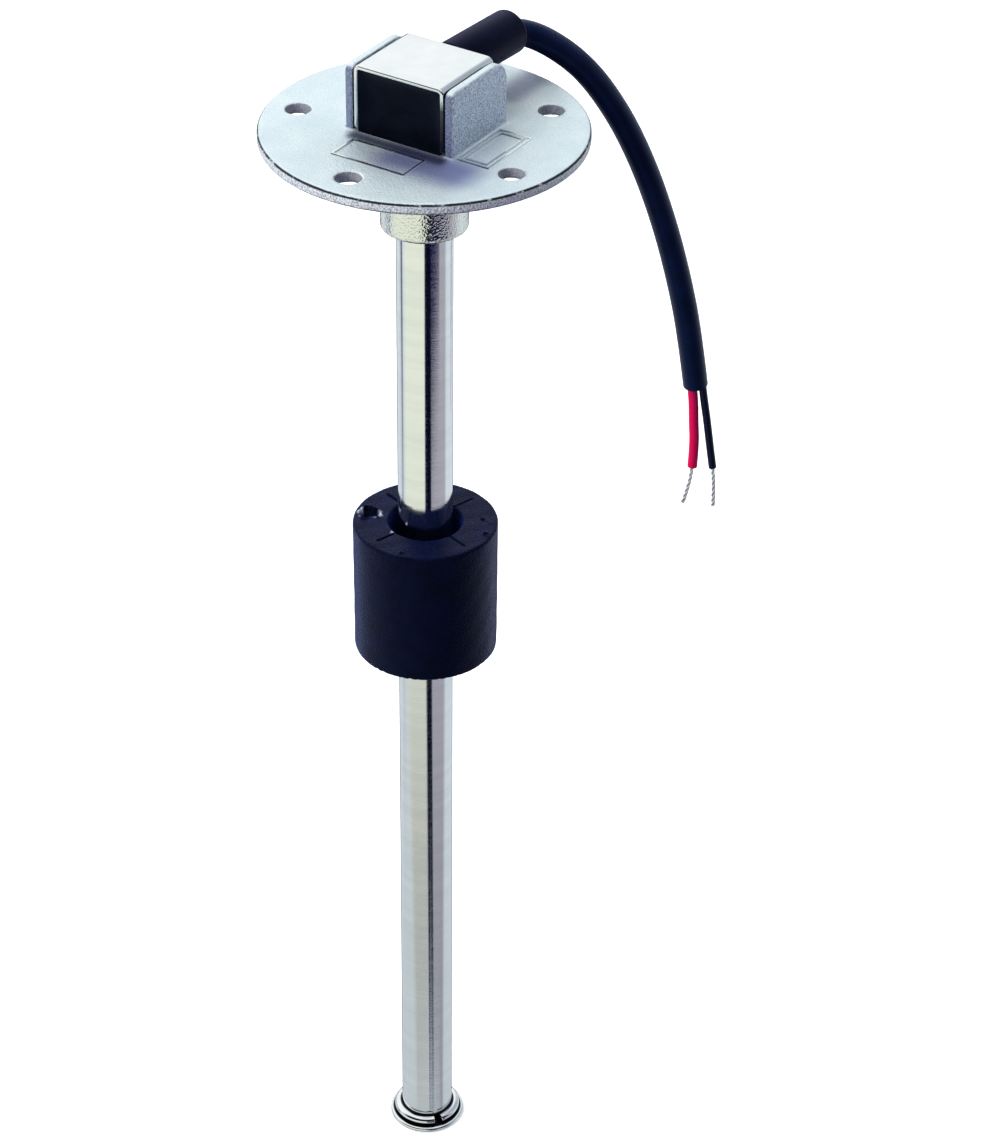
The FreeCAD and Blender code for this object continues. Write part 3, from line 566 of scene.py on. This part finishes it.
def raised_frames(material):
    """Plain frames cast on top of the flange."""
    raised = FLANGE_THICKNESS + 0.22
    sunk = FLANGE_THICKNESS - 0.1
    half_line = 0.17
    half_foot = half_line + 0.1
    section = [(half_foot, sunk), (half_line, raised), (-half_line, raised), (-half_foot, sunk)]
    corners = [(-1, -1), (1, -1), (1, 1), (-1, 1)]
    # Middle and half size of each frame
    frames = [((0.0, -16.6), (8.6, 3.7)), ((17.4, -0.75), (3.6, 7.85)), ((17.4, -0.75), (2.5, 6.75))]
    points = []
    faces = []
    for (x, y), (half_x, half_y) in frames:
        faces += closed_bands(len(section), len(corners), len(points))
        for out, height in section:
            for sign_x, sign_y in corners:
                points.append((x + sign_x * (half_x + out), y + sign_y * (half_y + out), height))
    mesh = plain_mesh(points, faces)
    mesh.shade_flat()
    dressed("raised_frames", mesh, material, "polished_stainless", STEM)


# Head

def folded_cover(material):
    """One sheet folded over the head: a rounded U, thickened and with broken edges."""
    half = COVER_HIGH.x / MM - SHEET / 2
    top = COVER_HIGH.z / MM - SHEET / 2
    foot = COVER_LOW.z / MM
    bend = 1.0
    fold = rounded([(-half, foot, 0), (-half, top, bend), (half, top, bend), (half, foot, 0)], steps=8)
    front = COVER_LOW.y / MM
    back = COVER_HIGH.y / MM
    points = [(x, front, z) for x, z in fold] + [(x, back, z) for x, z in fold]
    count = len(fold)
    faces = [[number, number + count, number + count + 1, number + 1] for number in range(count - 1)]
    source = placed("cover_source", plain_mesh(points, faces))
    modify(source, "sheet", "SOLIDIFY", thickness=SHEET * MM, offset=0)
    modify(source, "broken_edges", "BEVEL", width=0.36 * MM, segments=3, angle_limit=math.radians(50))
    mesh = evaluated_mesh(source)
    mesh.shade_smooth()
    dressed("folded_cover", mesh, material, "polished_stainless", STEM, "head_cover")


def resin_block(material):
    """The potting under the cover, its open front drawn up at the edges as it set."""
    low = POTTING_LOW / MM
    high = POTTING_HIGH / MM
    dip = 0.45
    flatness = 6
    columns = 40
    rows = 28
    points = []
    for y, sign in ((low.y, 1), (high.y, -1)):
        for row in range(rows + 1):
            for column in range(columns + 1):
                across = 2 * column / columns - 1
                upright = 2 * row / rows - 1
                crown = (1 - across ** flatness) * (1 - upright ** flatness)
                points.append((low.x + (high.x - low.x) * column / columns, y + sign * dip * crown,
                               low.z + (high.z - low.z) * row / rows))
    stride = columns + 1
    face_points = stride * (rows + 1)
    faces = []
    for row in range(rows):
        for column in range(columns):
            corner = row * stride + column
            front = [corner, corner + 1, corner + stride + 1, corner + stride]
            faces.append(front)
            faces.append([face_points + index for index in reversed(front)])
    rim = list(range(stride)) + [row * stride + columns for row in range(1, rows + 1)]
    rim += list(range(rows * stride + columns - 1, rows * stride - 1, -1))
    rim += [row * stride for row in range(rows - 1, 0, -1)]
    for index, after in zip(rim, rim[1:] + rim[:1]):
        faces.append([after, index, index + face_points, after + face_points])
    mesh = plain_mesh(points, faces)
    dressed("resin_block", mesh, material, "potting_resin", STEM, "head_potting")


def boot_turn():
    """Where the boot's axis starts on the back of the cover, and its turn from the vertical."""
    root = Vector((0, COVER_HIGH.y, COVER_HIGH.z - BOOT_DROP * MM))
    turn = Matrix.Rotation(math.radians(-BOOT_LEAN), 4, "Z") @ Matrix.Rotation(math.radians(-90), 4, "X")
    return Matrix.Translation(root) @ turn


def rubber_boot(material):
    """The cable's sleeve, with a rounded mouth that narrows to the jacket."""
    root = 3.3
    root_depth = 4
    collar = 0.35
    outside = 4.8
    mouth = 3.45
    socket = 2.9
    flare = 3
    mesh = turned(rounded([
        (0, -root_depth, 0), (root, -root_depth, 0), (root, collar, 0), (outside, collar, 0.3),
        (outside, BOOT_LENGTH, 0.8), (mouth, BOOT_LENGTH, 0.3), (socket, BOOT_LENGTH - flare, 0),
        (socket, BOOT_LENGTH - BOOT_SOCKET, 0), (0, BOOT_LENGTH - BOOT_SOCKET, 0),
    ]))
    mesh.transform(boot_turn())
    dressed("rubber_boot", mesh, material, "boot_rubber", STEM, "cable_boot")


# Stem

def stem(tube_finish, foot_finish):
    """The tube, and the plug with a rounded rim that closes its foot."""
    around = 160
    outside = TUBE_HIGH.x / MM
    inside = outside - TUBE_WALL
    top = TUBE_HIGH.z / MM
    bottom = TUBE_LOW.z / MM
    tube = turned([(inside, top), (outside, top), (outside, bottom), (inside, bottom)], around)
    dressed("drawn_tube", tube, tube_finish, "drawn_stainless", STEM, "stem_tube")

    rim = PLUG_HIGH.x / MM
    foot = PLUG_LOW.z / MM
    plug_top = PLUG_HIGH.z / MM
    play = 0.05
    rounding = 0.45
    spigot = inside - play
    plug = turned(rounded([
        (0, foot, 0), (rim, foot, rounding), (rim, bottom, rounding), (spigot, bottom, 0),
        (spigot, plug_top, 0.3), (0, plug_top, 0),
    ]), around)
    dressed("foot_plug", plug, foot_finish, "polished_stainless", STEM, "end_plug")


def split_ring(material):
    """The split ring of round wire that stops the float."""
    wire = (RING_HIGH.z - RING_LOW.z) / 2
    middle = RING_HIGH.x - wire
    gap = 1.6 * MM
    split = gap / middle
    split_at = math.radians(-35)
    tree, given = node_tree("split_ring", {
        "Radius": "Float", "Wire Radius": "Float", "Start": "Float", "Sweep": "Float", "Material": "Material",
    })
    arc = add(tree, "GeometryNodeCurveArc", {
        "Resolution": 160, "Radius": given["Radius"], "Start Angle": given["Start"],
        "Sweep Angle": given["Sweep"],
    })
    section = add(tree, "GeometryNodeCurvePrimitiveCircle", {
        "Resolution": 32, "Radius": given["Wire Radius"],
    })
    bent = add(tree, "GeometryNodeCurveToMesh", {"Curve": arc, "Profile Curve": section, "Fill Caps": True})
    finish_tree(tree, bent, given["Material"])
    ring = grown(placed("ring_source", bpy.data.meshes.new("ring")), tree, {
        "Radius": middle, "Wire Radius": wire, "Start": split_at + split / 2, "Sweep": 2 * math.pi - split,
        "Material": material,
    })
    ring.transform(Matrix.Translation((0, 0, (RING_HIGH.z + RING_LOW.z) / 2)))
    ring.shade_smooth()
    ends = placed("ring_ends", ring)
    modify(ends, "cut_ends", "BEVEL", width=0.12 * MM, segments=2, angle_limit=math.radians(60))
    dressed("split_ring", evaluated_mesh(ends), material, "polished_stainless", STEM, "retaining_ring")


# Float

def step_down(distance, width):
    """1 well inside a mark, 0 outside it, over a soft edge of that width."""
    ramp = np.clip(0.5 - distance / width, 0, 1)
    return ramp * ramp * (3 - 2 * ramp)


def float_top_relief(x, y):
    """Height of the float's top from the flat, with its marks, and where a highlight is painted on torn
    edges. In millimetres.
    """
    height = np.zeros_like(x)
    groove_half = 0.26
    groove_end = 13.4
    for bearing, depth in ((72.5, 0.25), (162.5, 0.6), (252.5, 0.6), (342.5, 0.4)):
        angle = math.radians(bearing)
        along = x * math.cos(angle) + y * math.sin(angle)
        across = -x * math.sin(angle) + y * math.cos(angle)
        groove = step_down(np.abs(across) - groove_half, 0.25) * step_down(along - groove_end, 0.4)
        height -= depth * groove * (along > 0)

    # The core pin's pit, with a torn edge and a raised lip
    pit_out = 12.6
    pit_angle = math.radians(200.6)
    pit_radius = 2.1
    pit_depth = 1.1
    pin_radius = 1.1
    pin_depth = 2.6
    from_x = x - pit_out * math.cos(pit_angle)
    from_y = y - pit_out * math.sin(pit_angle)
    bearing = np.arctan2(from_y, from_x)
    distance = np.hypot(from_x, from_y)
    torn_edge = pit_radius + 0.34 * np.sin(3 * bearing + 0.6) + 0.22 * np.sin(5 * bearing + 2.1)
    torn_edge += 0.12 * np.sin(11 * bearing)
    inside = step_down(distance - torn_edge, 0.3)
    lip = np.exp(-((distance - torn_edge - 0.3) / 0.28) ** 2) * (0.6 + 0.4 * np.sin(4 * bearing + 1))
    height += 0.42 * lip * (1 - inside)
    height -= inside * (pit_depth + pin_depth * step_down(distance - pin_radius, 1.2))
    ragged = step_down(0.25 - np.sin(2 * bearing + 0.9) - 0.5 * np.sin(9 * bearing), 0.5)
    # Where the torn edge is painted pale, as a highlight
    torn = np.clip(1.3 * lip, 0, 1) * ragged * (1 - step_down(distance - torn_edge + 0.35, 0.25))

    # A chip at the bore's edge
    chip = step_down(np.hypot(x + 3.4, y + 7.8) - 0.5 - 0.15 * np.sin(5 * x + 3 * y), 0.35)
    height -= 0.4 * chip
    # The chip is painted pale too
    torn = np.maximum(torn, chip)

    # Scratches: start, end and depth
    for start, end, depth in (
        ((-13.9, -1.2), (-15.3, 0.3), 0.12), ((9.2, 7.6), (13.4, 5.6), 0.1),
        ((11.6, 2.6), (13.6, -0.4), 0.08), ((-4.4, -10.6), (-1.2, -12.9), 0.07),
    ):
        run = Vector(end) - Vector(start)
        share = np.clip(((x - start[0]) * run.x + (y - start[1]) * run.y) / run.length_squared, 0, 1)
        off = np.hypot(x - start[0] - share * run.x, y - start[1] - share * run.y)
        height -= depth * step_down(off - 0.12, 0.25)
    # Small burst bubbles in the skin: place and radius
    for bubble, size in (((10.4, 6.9), 0.45), ((14.1, 2.4), 0.55), ((-9.3, 9.2), 0.3), ((3.0, -13.8), 0.3)):
        off = np.hypot(x - bubble[0], y - bubble[1])
        height -= 0.3 * step_down(off - size, 0.3)
        height += 0.12 * np.exp(-((off - size - 0.15) / 0.18) ** 2)
    slow = np.sin(0.61 * x + 1.3) * np.sin(0.53 * y - 0.4) + 0.6 * np.sin(1.13 * x - 0.87 * y)
    return height + 0.04 * slow, torn


def foam_float(material):
    """The moulded float: rings of points round its section, with relief on its top and nicks at its foot."""
    around = 512
    fine = 0.17
    coarse = 1.1
    edge = 0.6
    bore_edge = 0.5
    rim = FLOAT_HIGH.x / MM
    top = FLOAT_HIGH.z / MM
    bottom = FLOAT_LOW.z / MM
    bore = FLOAT_BORE / 2
    foot = rim - FLOAT_TAPER / 2
    outline = rounded([
        (bore, bottom, bore_edge), (bore, top, bore_edge), (rim, top, edge), (foot, bottom, edge),
    ], steps=7)
    # Extra rings along the side and the bore, and fine ones along the top
    section = []
    for (radius, height), (next_radius, next_height) in zip(outline, outline[1:] + outline[:1]):
        on_top = abs(next_height - height) < NIL and height > bottom + edge
        length = math.hypot(next_radius - radius, next_height - height)
        count = max(1, round(length / (fine if on_top else coarse)))
        for step in range(count):
            share = step / count
            section.append((radius + share * (next_radius - radius), height + share * (next_height - height)))
    rings = np.array(section)
    angles = np.linspace(0, 2 * math.pi, around, endpoint=False)
    turn, radius = np.meshgrid(angles, rings[:, 0])
    height = np.meshgrid(angles, rings[:, 1])[1]

    # Slow waves on the side, nicks at the foot and a burr on the rim
    up = height - top
    side = (radius > foot - edge) & (up < -edge)
    wander = np.sin(7 * turn + 0.31 * up) * np.sin(0.47 * up + 2 * turn) + np.sin(13 * turn - 0.9 * up + 1)
    radius += np.where(side, 0.022 * wander, 0)
    low_edge = np.exp(-((height - bottom) / 0.7) ** 2) * (radius > bore + 2)
    nicks = np.clip(np.sin(17 * turn) * np.sin(29 * turn + 1.7) + 0.4 * np.sin(61 * turn), 0, None)
    height += 0.16 * low_edge * nicks
    rim_burr = np.exp(-((up + 0.25) / 0.3) ** 2) * (radius > rim - 0.9)
    radius += 0.05 * rim_burr * np.sin(23 * turn) * np.sin(41 * turn + 0.5)

    x = radius * np.cos(turn)
    y = radius * np.sin(turn)
    topmost = np.clip((up + 0.35) / 0.3, 0, 1)
    relief, torn = float_top_relief(x, y)
    height += topmost * relief
    points = np.stack([x, y, height], axis=-1).reshape(-1, 3)
    mesh = plain_mesh(points, closed_bands(len(rings), around))
    # Where the finish paints a pale highlight on torn edges and the chip
    mark = mesh.attributes.new("torn", "FLOAT", "POINT")
    mark.data.foreach_set("value", (torn * topmost).astype(np.float32).ravel())
    dressed("foam_float", mesh, material, "float_foam", FLOAT, "float")


# Cable

def route_curve(points, diameter):
    """A smooth cord through a route's points, in millimetres."""
    curve = bpy.data.curves.new("route", "CURVE")
    curve.dimensions = "3D"
    spline = curve.splines.new("NURBS")
    spline.points.add(len(points) - 1)
    for control, point in zip(spline.points, points):
        control.co = (*(Vector(point) * MM), 1)
    spline.order_u = 3
    spline.use_endpoint_u = True
    spline.resolution_u = 12
    curve.bevel_depth = diameter / 2 * MM
    curve.bevel_resolution = 8
    curve.use_fill_caps = True
    return curve


def strand_tree():
    """Thin wires laid round a middle one along a path, spreading towards the loose end."""
    tree, given = node_tree("twisted_strands", {
        "Strands": "Int", "Lay Radius": "Float", "Wire Radius": "Float", "Turns": "Float", "Spread": "Float",
        "Seed": "Int", "Material": "Material",
    })
    path = add(tree, "GeometryNodeResampleCurve", {"Curve": given["Geometry"], "Count": 40})
    copies = add(tree, "GeometryNodeDuplicateElements", {"Geometry": path, "Amount": given["Strands"]},
                 domain="SPLINE")
    wire = copies.outputs["Duplicate Index"]
    share = add(tree, "GeometryNodeSplineParameter").outputs["Factor"]
    own_turn = add(tree, "Math", {0: wire, 1: given["Strands"]}, operation="DIVIDE")
    turns = add(tree, "Math", {0: share, 1: given["Turns"], 2: own_turn}, operation="MULTIPLY_ADD")
    angle = add(tree, "Math", {0: turns, 1: 2 * math.pi}, operation="MULTIPLY")
    loose = add(tree, "FunctionNodeRandomValue", {"ID": wire, "Seed": given["Seed"]}, data_type="FLOAT")
    wider = add(tree, "Math", {0: loose, 1: given["Spread"]}, operation="MULTIPLY")
    growth = add(tree, "Math", {0: share, 1: wider, 2: 1.0}, operation="MULTIPLY_ADD")
    lay = add(tree, "Math", {0: growth, 1: given["Lay Radius"]}, operation="MULTIPLY")
    normal = add(tree, "GeometryNodeInputNormal")
    tangent = add(tree, "GeometryNodeInputTangent")
    turned_by = add(tree, "VectorRotate", {"Vector": normal, "Axis": tangent, "Angle": angle})
    offset = add(tree, "VectorMath", {0: turned_by, "Scale": lay}, operation="SCALE")
    laid = add(tree, "GeometryNodeSetPosition", {"Geometry": copies, "Offset": offset})
    # The middle wire gets the groove mark, on which its finish paints shade
    shaded = add(tree, "GeometryNodeStoreNamedAttribute", {"Geometry": path, "Name": "groove", "Value": 1.0},
                 data_type="FLOAT", domain="POINT")
    bundle = add(tree, "GeometryNodeJoinGeometry", {"Geometry": laid})
    tree.links.new(shaded.outputs[0], bundle.inputs["Geometry"])
    section = add(tree, "GeometryNodeCurvePrimitiveCircle", {"Resolution": 8, "Radius": given["Wire Radius"]})
    laid_wires = add(tree, "GeometryNodeCurveToMesh", {
        "Curve": bundle, "Profile Curve": section, "Fill Caps": True,
    })
    smooth = add(tree, "GeometryNodeSetShadeSmooth", {"Geometry": laid_wires})
    finish_tree(tree, smooth, given["Material"])
    return tree


def hanging_cable(jacket, red, black, tinned):
    """Jacket from the boot, hanging beside the stem, and its two bared cores with twisted strands."""
    mouth = boot_turn() @ Vector((0, 0, BOOT_LENGTH * MM)) / MM
    outward = (boot_turn().to_3x3() @ Vector((0, 0, 1))).normalized()
    # Route from the middle of the boot's mouth
    hanging = [
        (3.7, 7.0, -3.3), (8.6, 16.2, -12.3), (12.8, 24.0, -25.4), (16.0, 30.0, -39.4), (18.6, 35.0, -54.4),
        (20.7, 38.9, -69.4), (22.4, 42.0, -84.4), (23.5, 44.1, -99.2),
    ]
    route = [mouth - outward * BOOT_SOCKET, mouth + outward * 0.5]
    route += [mouth + Vector(step) for step in hanging]
    cable = dressed("hanging_cable", route_curve(route, CABLE), jacket, "cable_jacket", STEM, "cable")

    cut_end = route[-1]
    onward = (route[-1] - route[-2]).normalized()
    first_run = 4
    tree = strand_tree()
    # Each core's insulation and diameter, then from the cut end, where it leaves, its bends and its strands'
    # tip, and last the seed of the strands
    cores = {
        "red": (red, 2.3, (-0.75, -0.35), [(-0.1, 0.1, -10), (0.3, 0.3, -16), (0.1, 0.1, -22.1)],
                (-1.5, -0.9, -32.2), 3),
        "black": (black, 1.85, (1.3, 0.8), [(2.6, 1.7, -10), (3.3, 2.1, -16), (4.1, 2.6, -22.3)],
                  (4.5, 2.9, -32.9), 5),
    }
    on_cable = []
    for colour, (material, diameter, leaves, bends, tip, seed) in cores.items():
        drop = -(leaves[0] * onward.x + leaves[1] * onward.y) / onward.z
        start = cut_end + Vector((*leaves, drop))
        core_route = [start - onward, start + onward * first_run]
        core_route += [cut_end + Vector(step) for step in bends]
        core = dressed(f"{colour}_wire", route_curve(core_route, diameter), material,
                       f"{colour}_insulation", STEM, f"{colour}_core")
        core_end = core_route[-1]
        core_onward = (core_route[-1] - core_route[-2]).normalized()
        strand_route = [core_end - core_onward, core_end + core_onward * first_run, cut_end + Vector(tip)]
        source = placed(f"{colour}_strand_path", route_curve(strand_route, 0))
        bundle = grown(source, tree, {
            "Strands": 3, "Lay Radius": 0.27 * MM, "Wire Radius": 0.19 * MM, "Turns": 2.6, "Spread": 0.3,
            "Seed": seed, "Material": tinned,
        })
        strands = dressed(f"{colour}_strand_bundle", bundle, tinned, "tinned_copper", STEM,
                          f"{colour}_strands")
        on_cable += [core, strands]


# Inner pieces keep their solids

def finish_inner_pieces(red, black, tinned):
    """Finishes for what the stem, the potting and the float hold."""
    finishes = {
        # Sintered ferrite: dark grey and granular
        "float_magnet": surface("ferrite_sintered", "#2F3033", "#45464A", 1.5, 0.15, 0.01, (0.5, 0.7)),
        # Glass-fibre board under green solder mask: a faint weave below a satin coat
        "sensor_board": surface("glass_fibre_board", "#12502A", "#1B6B38", 1.2, 0.5, 0.01, (0.3, 0.45)),
        # Shrink film: milky and slightly creased
        "board_sleeve": surface("shrink_film", "#C9C8C0", "#DDDCD5", 4, 1.5, 0.02, (0.3, 0.45)),
        # Green-tinted soda glass, drawn and fused: clear, with thicker ends
        "reed_switches": surface("reed_glass_drawn", "#B9D3C0", "#D5E6DA", 3, 1.0, 0.002, (0.02, 0.06),
                                 **{"Transmission Weight": 1.0, "IOR": 1.5}),
        # Alumina chip under black glaze: smooth and faintly speckled
        "chain_resistors": surface("chip_ceramic_glazed", "#0A0A0A", "#161616", 0.4, 0.1, 0.002, (0.2, 0.3)),
        "reed_leads": tinned, "red_lead": red, "black_lead": black,
    }
    for name, material in finishes.items():
        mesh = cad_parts[name].data
        mesh.materials.clear()
        mesh.materials.append(material)


# Studio

def card_floor(tree, up, bearing):
    """Colour of the floor that metal mirrors: pale, with cards that give the upright tube its bands."""
    left_end = (-200, -200, 1)
    right_end = (200, 200, 1)
    # Each card changes between two elevations: its left and right edge as (bearing at the first, bearing at
    # the second, softness), and its colour. A card whose edges have crossed isn't there. Angles in degrees
    cards = {
        "pale_floor": ((-33, -42), left_end, right_end, ("#DCE5EC", "#C8D0D8")),
        "cream_board": ((-33, -39), (-146, -146, 14), (-57, -52, 4), ("#EFF4E4", "#B6B7B3")),
        "pale_card": ((-33, -42), left_end, (-160, -101, 6), ("#D4DCE2", "#CAD2D6")),
        "thin_edge": ((-29, -35), (-169, -169, 3), (-158, -158, 4), ("#5C6078", "#CCD4DC")),
        "violet_board": ((-33, -42), (-36, -28, 4), (36, 22, 12), ("#AFADB9", "#9797A3")),
        "dark_corner": ((-29, -31.6), (-40, -40, 4), (4, -33, 5), ("#0E0D40", "#100F34")),
        "black_slit": ((-33, -42), (-57.5, -46, 3), (-33, -24, 4), ("#0A0820", "#060414")),
        "grey_gap": ((-37.5, -42), (-38, -40.5, 3), (-42, -30.5, 3), ("#7A788C", "#7A788C")),
        "pale_foot": ((-41.8, -42.6), (-32, -110, 20), (-78, 10, 20), ("#C4CCD4", "#C8D0D8")),
        "rear_card": ((-33, -42), (101, 101, 6), (147, 147, 6), ("#1C1E34", "#1C1E34")),
    }
    turn = add(tree, "Math", {0: bearing}, operation="DEGREES")
    floor = srgb("#FFFFFF")
    for (first, second), left, right, (first_colour, second_colour) in cards.values():
        share = add(tree, "MapRange", {"Value": up, "From Min": rise(first), "From Max": rise(second)})
        sides = []
        for (start, end, softness), inward in ((left, 1), (right, -1)):
            edge = add(tree, "MapRange", {"Value": share, "To Min": start, "To Max": end})
            past = add(tree, "Math", {0: turn, 1: edge}, operation="SUBTRACT")
            sides.append(add(tree, "MapRange", {
                "Value": past, "From Min": -inward * softness / 2, "From Max": inward * softness / 2,
            }))
        inside = add(tree, "Math", {0: sides[0], 1: sides[1]}, operation="MINIMUM")
        colour = add(tree, "Mix", {
            "Factor": share, 6: srgb(first_colour), 7: srgb(second_colour),
        }, data_type="RGBA")
        floor = add(tree, "Mix", {"Factor": inside, 6: floor, 7: colour}, data_type="RGBA")
    downward = add(tree, "MapRange", {"Value": up, "From Min": rise(-54), "From Max": rise(-66)})
    return add(tree, "Mix", {"Factor": downward, 6: floor, 7: srgb("#14141E")}, data_type="RGBA")


def studio_world():
    """White to the eye. Metal sees the floor's cards, a dark room behind the camera and light above."""
    world = bpy.data.worlds.new("studio")
    bpy.context.scene.world = world
    tree = bare_tree(world)
    toward = add(tree, "TexCoord").outputs["Generated"]
    parts = add(tree, "SeparateXYZ", {0: toward}).outputs
    bearing = add(tree, "Math", {0: parts["Y"], 1: parts["X"]}, operation="ARCTAN2")
    floor = card_floor(tree, parts["Z"], bearing)

    # The room on the camera's side and on the far side, as colours at elevations in degrees
    height = add(tree, "MapRange", {"Value": parts["Z"], "From Min": -1.0, "From Max": 1.0})
    near_side, far_side = [
        add(tree, "ValToRGB", {"Fac": height}, [
            (rise(elevation) / 2 + 0.5, colour) for elevation, colour in stops
        ])
        for stops in (
            [(-5, "#C8CCD6"), (0, "#0E0D20"), (42, "#14132A"), (58, "#F8FBFD")],
            [(-5, "#D4DAE2"), (-2, "#14142A"), (1, "#1A1A30"), (6, "#FCFEFF")],
        )
    ]
    camera_side = direction(CAMERA_BEARING, 0)
    off_camera = add(tree, "VectorMath", {0: toward, 1: camera_side}, operation="DOT_PRODUCT")
    nearness = add(tree, "MapRange", {"Value": off_camera, "From Min": 0.0, "From Max": 0.35})
    room = add(tree, "Mix", {"Factor": nearness, 6: far_side, 7: near_side}, data_type="RGBA")
    # A grey card high behind the sender
    off_card = add(tree, "VectorMath", {0: toward, 1: direction(58, 34)}, operation="DOT_PRODUCT")
    on_card = add(tree, "MapRange", {
        "Value": off_card, "From Min": math.cos(math.radians(44)), "From Max": math.cos(math.radians(16)),
    })
    shaded = add(tree, "Mix", {"Factor": on_card, 6: room, 7: srgb("#A4ACBA")}, data_type="RGBA")
    below = add(tree, "MapRange", {"Value": parts["Z"], "From Min": rise(-5), "From Max": rise(-9)})
    surroundings = add(tree, "Mix", {"Factor": below, 6: shaded, 7: floor}, data_type="RGBA")

    ray = add(tree, "LightPath").outputs
    glossy = add(tree, "Math", {0: ray["Is Glossy Ray"], 1: ray["Is Transmission Ray"]}, operation="MAXIMUM")
    soft_light = add(tree, "Background", {"Color": srgb("#8C97EC"), "Strength": 0.12})
    reflected = add(tree, "Background", {"Color": surroundings, "Strength": 1.0})
    white = add(tree, "Background", {"Color": srgb("#FFFFFF"), "Strength": 1.0})
    lit = add(tree, "MixShader", {0: glossy, 1: soft_light, 2: reflected})
    seen = add(tree, "MixShader", {0: ray["Is Camera Ray"], 1: lit, 2: white})
    add(tree, "OutputWorld", {"Surface": seen})


def studio_floor():
    """A white sweep under the foot, which keeps the sender's soft shadow."""
    reach = 6000
    height = PLUG_LOW.z / MM - 0.02
    mesh = plain_mesh([
        (-reach, -reach, height), (reach, -reach, height), (reach, reach, height), (-reach, reach, height),
    ], [(0, 1, 2, 3)])
    material = bpy.data.materials.new("white_sweep")
    tree = bare_tree(material)
    ray = add(tree, "LightPath").outputs
    matt = add(tree, "BsdfDiffuse", {"Color": srgb("#F6F6F6")})
    lift = add(tree, "Emission", {"Color": srgb("#FFFFFF"), "Strength": 0.3})
    bright = add(tree, "AddShader", {0: matt, 1: lift})
    shown = add(tree, "MixShader", {0: ray["Is Camera Ray"], 1: matt, 2: bright})
    add(tree, "OutputMaterial", {"Surface": shown})
    mesh.materials.append(material)
    floor = placed("floor", mesh)
    floor.visible_glossy = False
    floor.visible_diffuse = False


def studio_lights():
    """A broad soft key from above and behind on the left, a soft fill in front and a rim from the right."""
    for name, bearing, elevation, strength, spread in (
        ("key", 158, 46, 2.4, 60), ("fill", 252, 32, 3.2, 60), ("rim", 72, 28, 2.0, 45),
    ):
        lamp = bpy.data.lights.new(name, "SUN")
        lamp.energy = strength
        lamp.angle = math.radians(spread)
        light = placed(name, lamp)
        light.rotation_mode = "QUATERNION"
        light.rotation_quaternion = direction(bearing, elevation).to_track_quat("Z", "Y")
        light.visible_glossy = False


def studio_camera():
    """The photograph's own place, direction and field of view."""
    photo_height = 1141
    focal_length = 3512.83
    place = Vector((356.960, -533.789, 323.679)) * MM
    right = Vector((0.84175, 0.53979, 0.00937))
    up = Vector((-0.30666, 0.46378, 0.83119))
    lens = bpy.data.cameras.new("camera")
    lens.lens = focal_length / photo_height * lens.sensor_width
    lens.clip_start = 0.01
    lens.clip_end = 50
    camera = placed("camera", lens)
    turn = Matrix((right, up, right.cross(up))).transposed()
    camera.matrix_world = Matrix.Translation(place) @ turn.to_4x4()
    bpy.context.scene.camera = camera


def build():
    """The whole sender and its studio."""
    polished = polished_stainless()
    foot = foot_stainless()
    red = red_insulation()
    black = black_insulation()
    tinned = tinned_copper()
    cast_flange(cast_stainless())
    raised_frames(polished)
    folded_cover(polished)
    resin_block(potting_resin())
    rubber_boot(boot_rubber())
    stem(drawn_stainless(), foot)
    split_ring(foot)
    foam_float(float_foam())
    hanging_cable(cable_jacket(), red, black, tinned)
    finish_inner_pieces(red, black, tinned)
    studio_world()
    studio_floor()
    studio_lights()
    studio_camera()
    bpy.context.scene.view_settings.view_transform = "Standard"


build()
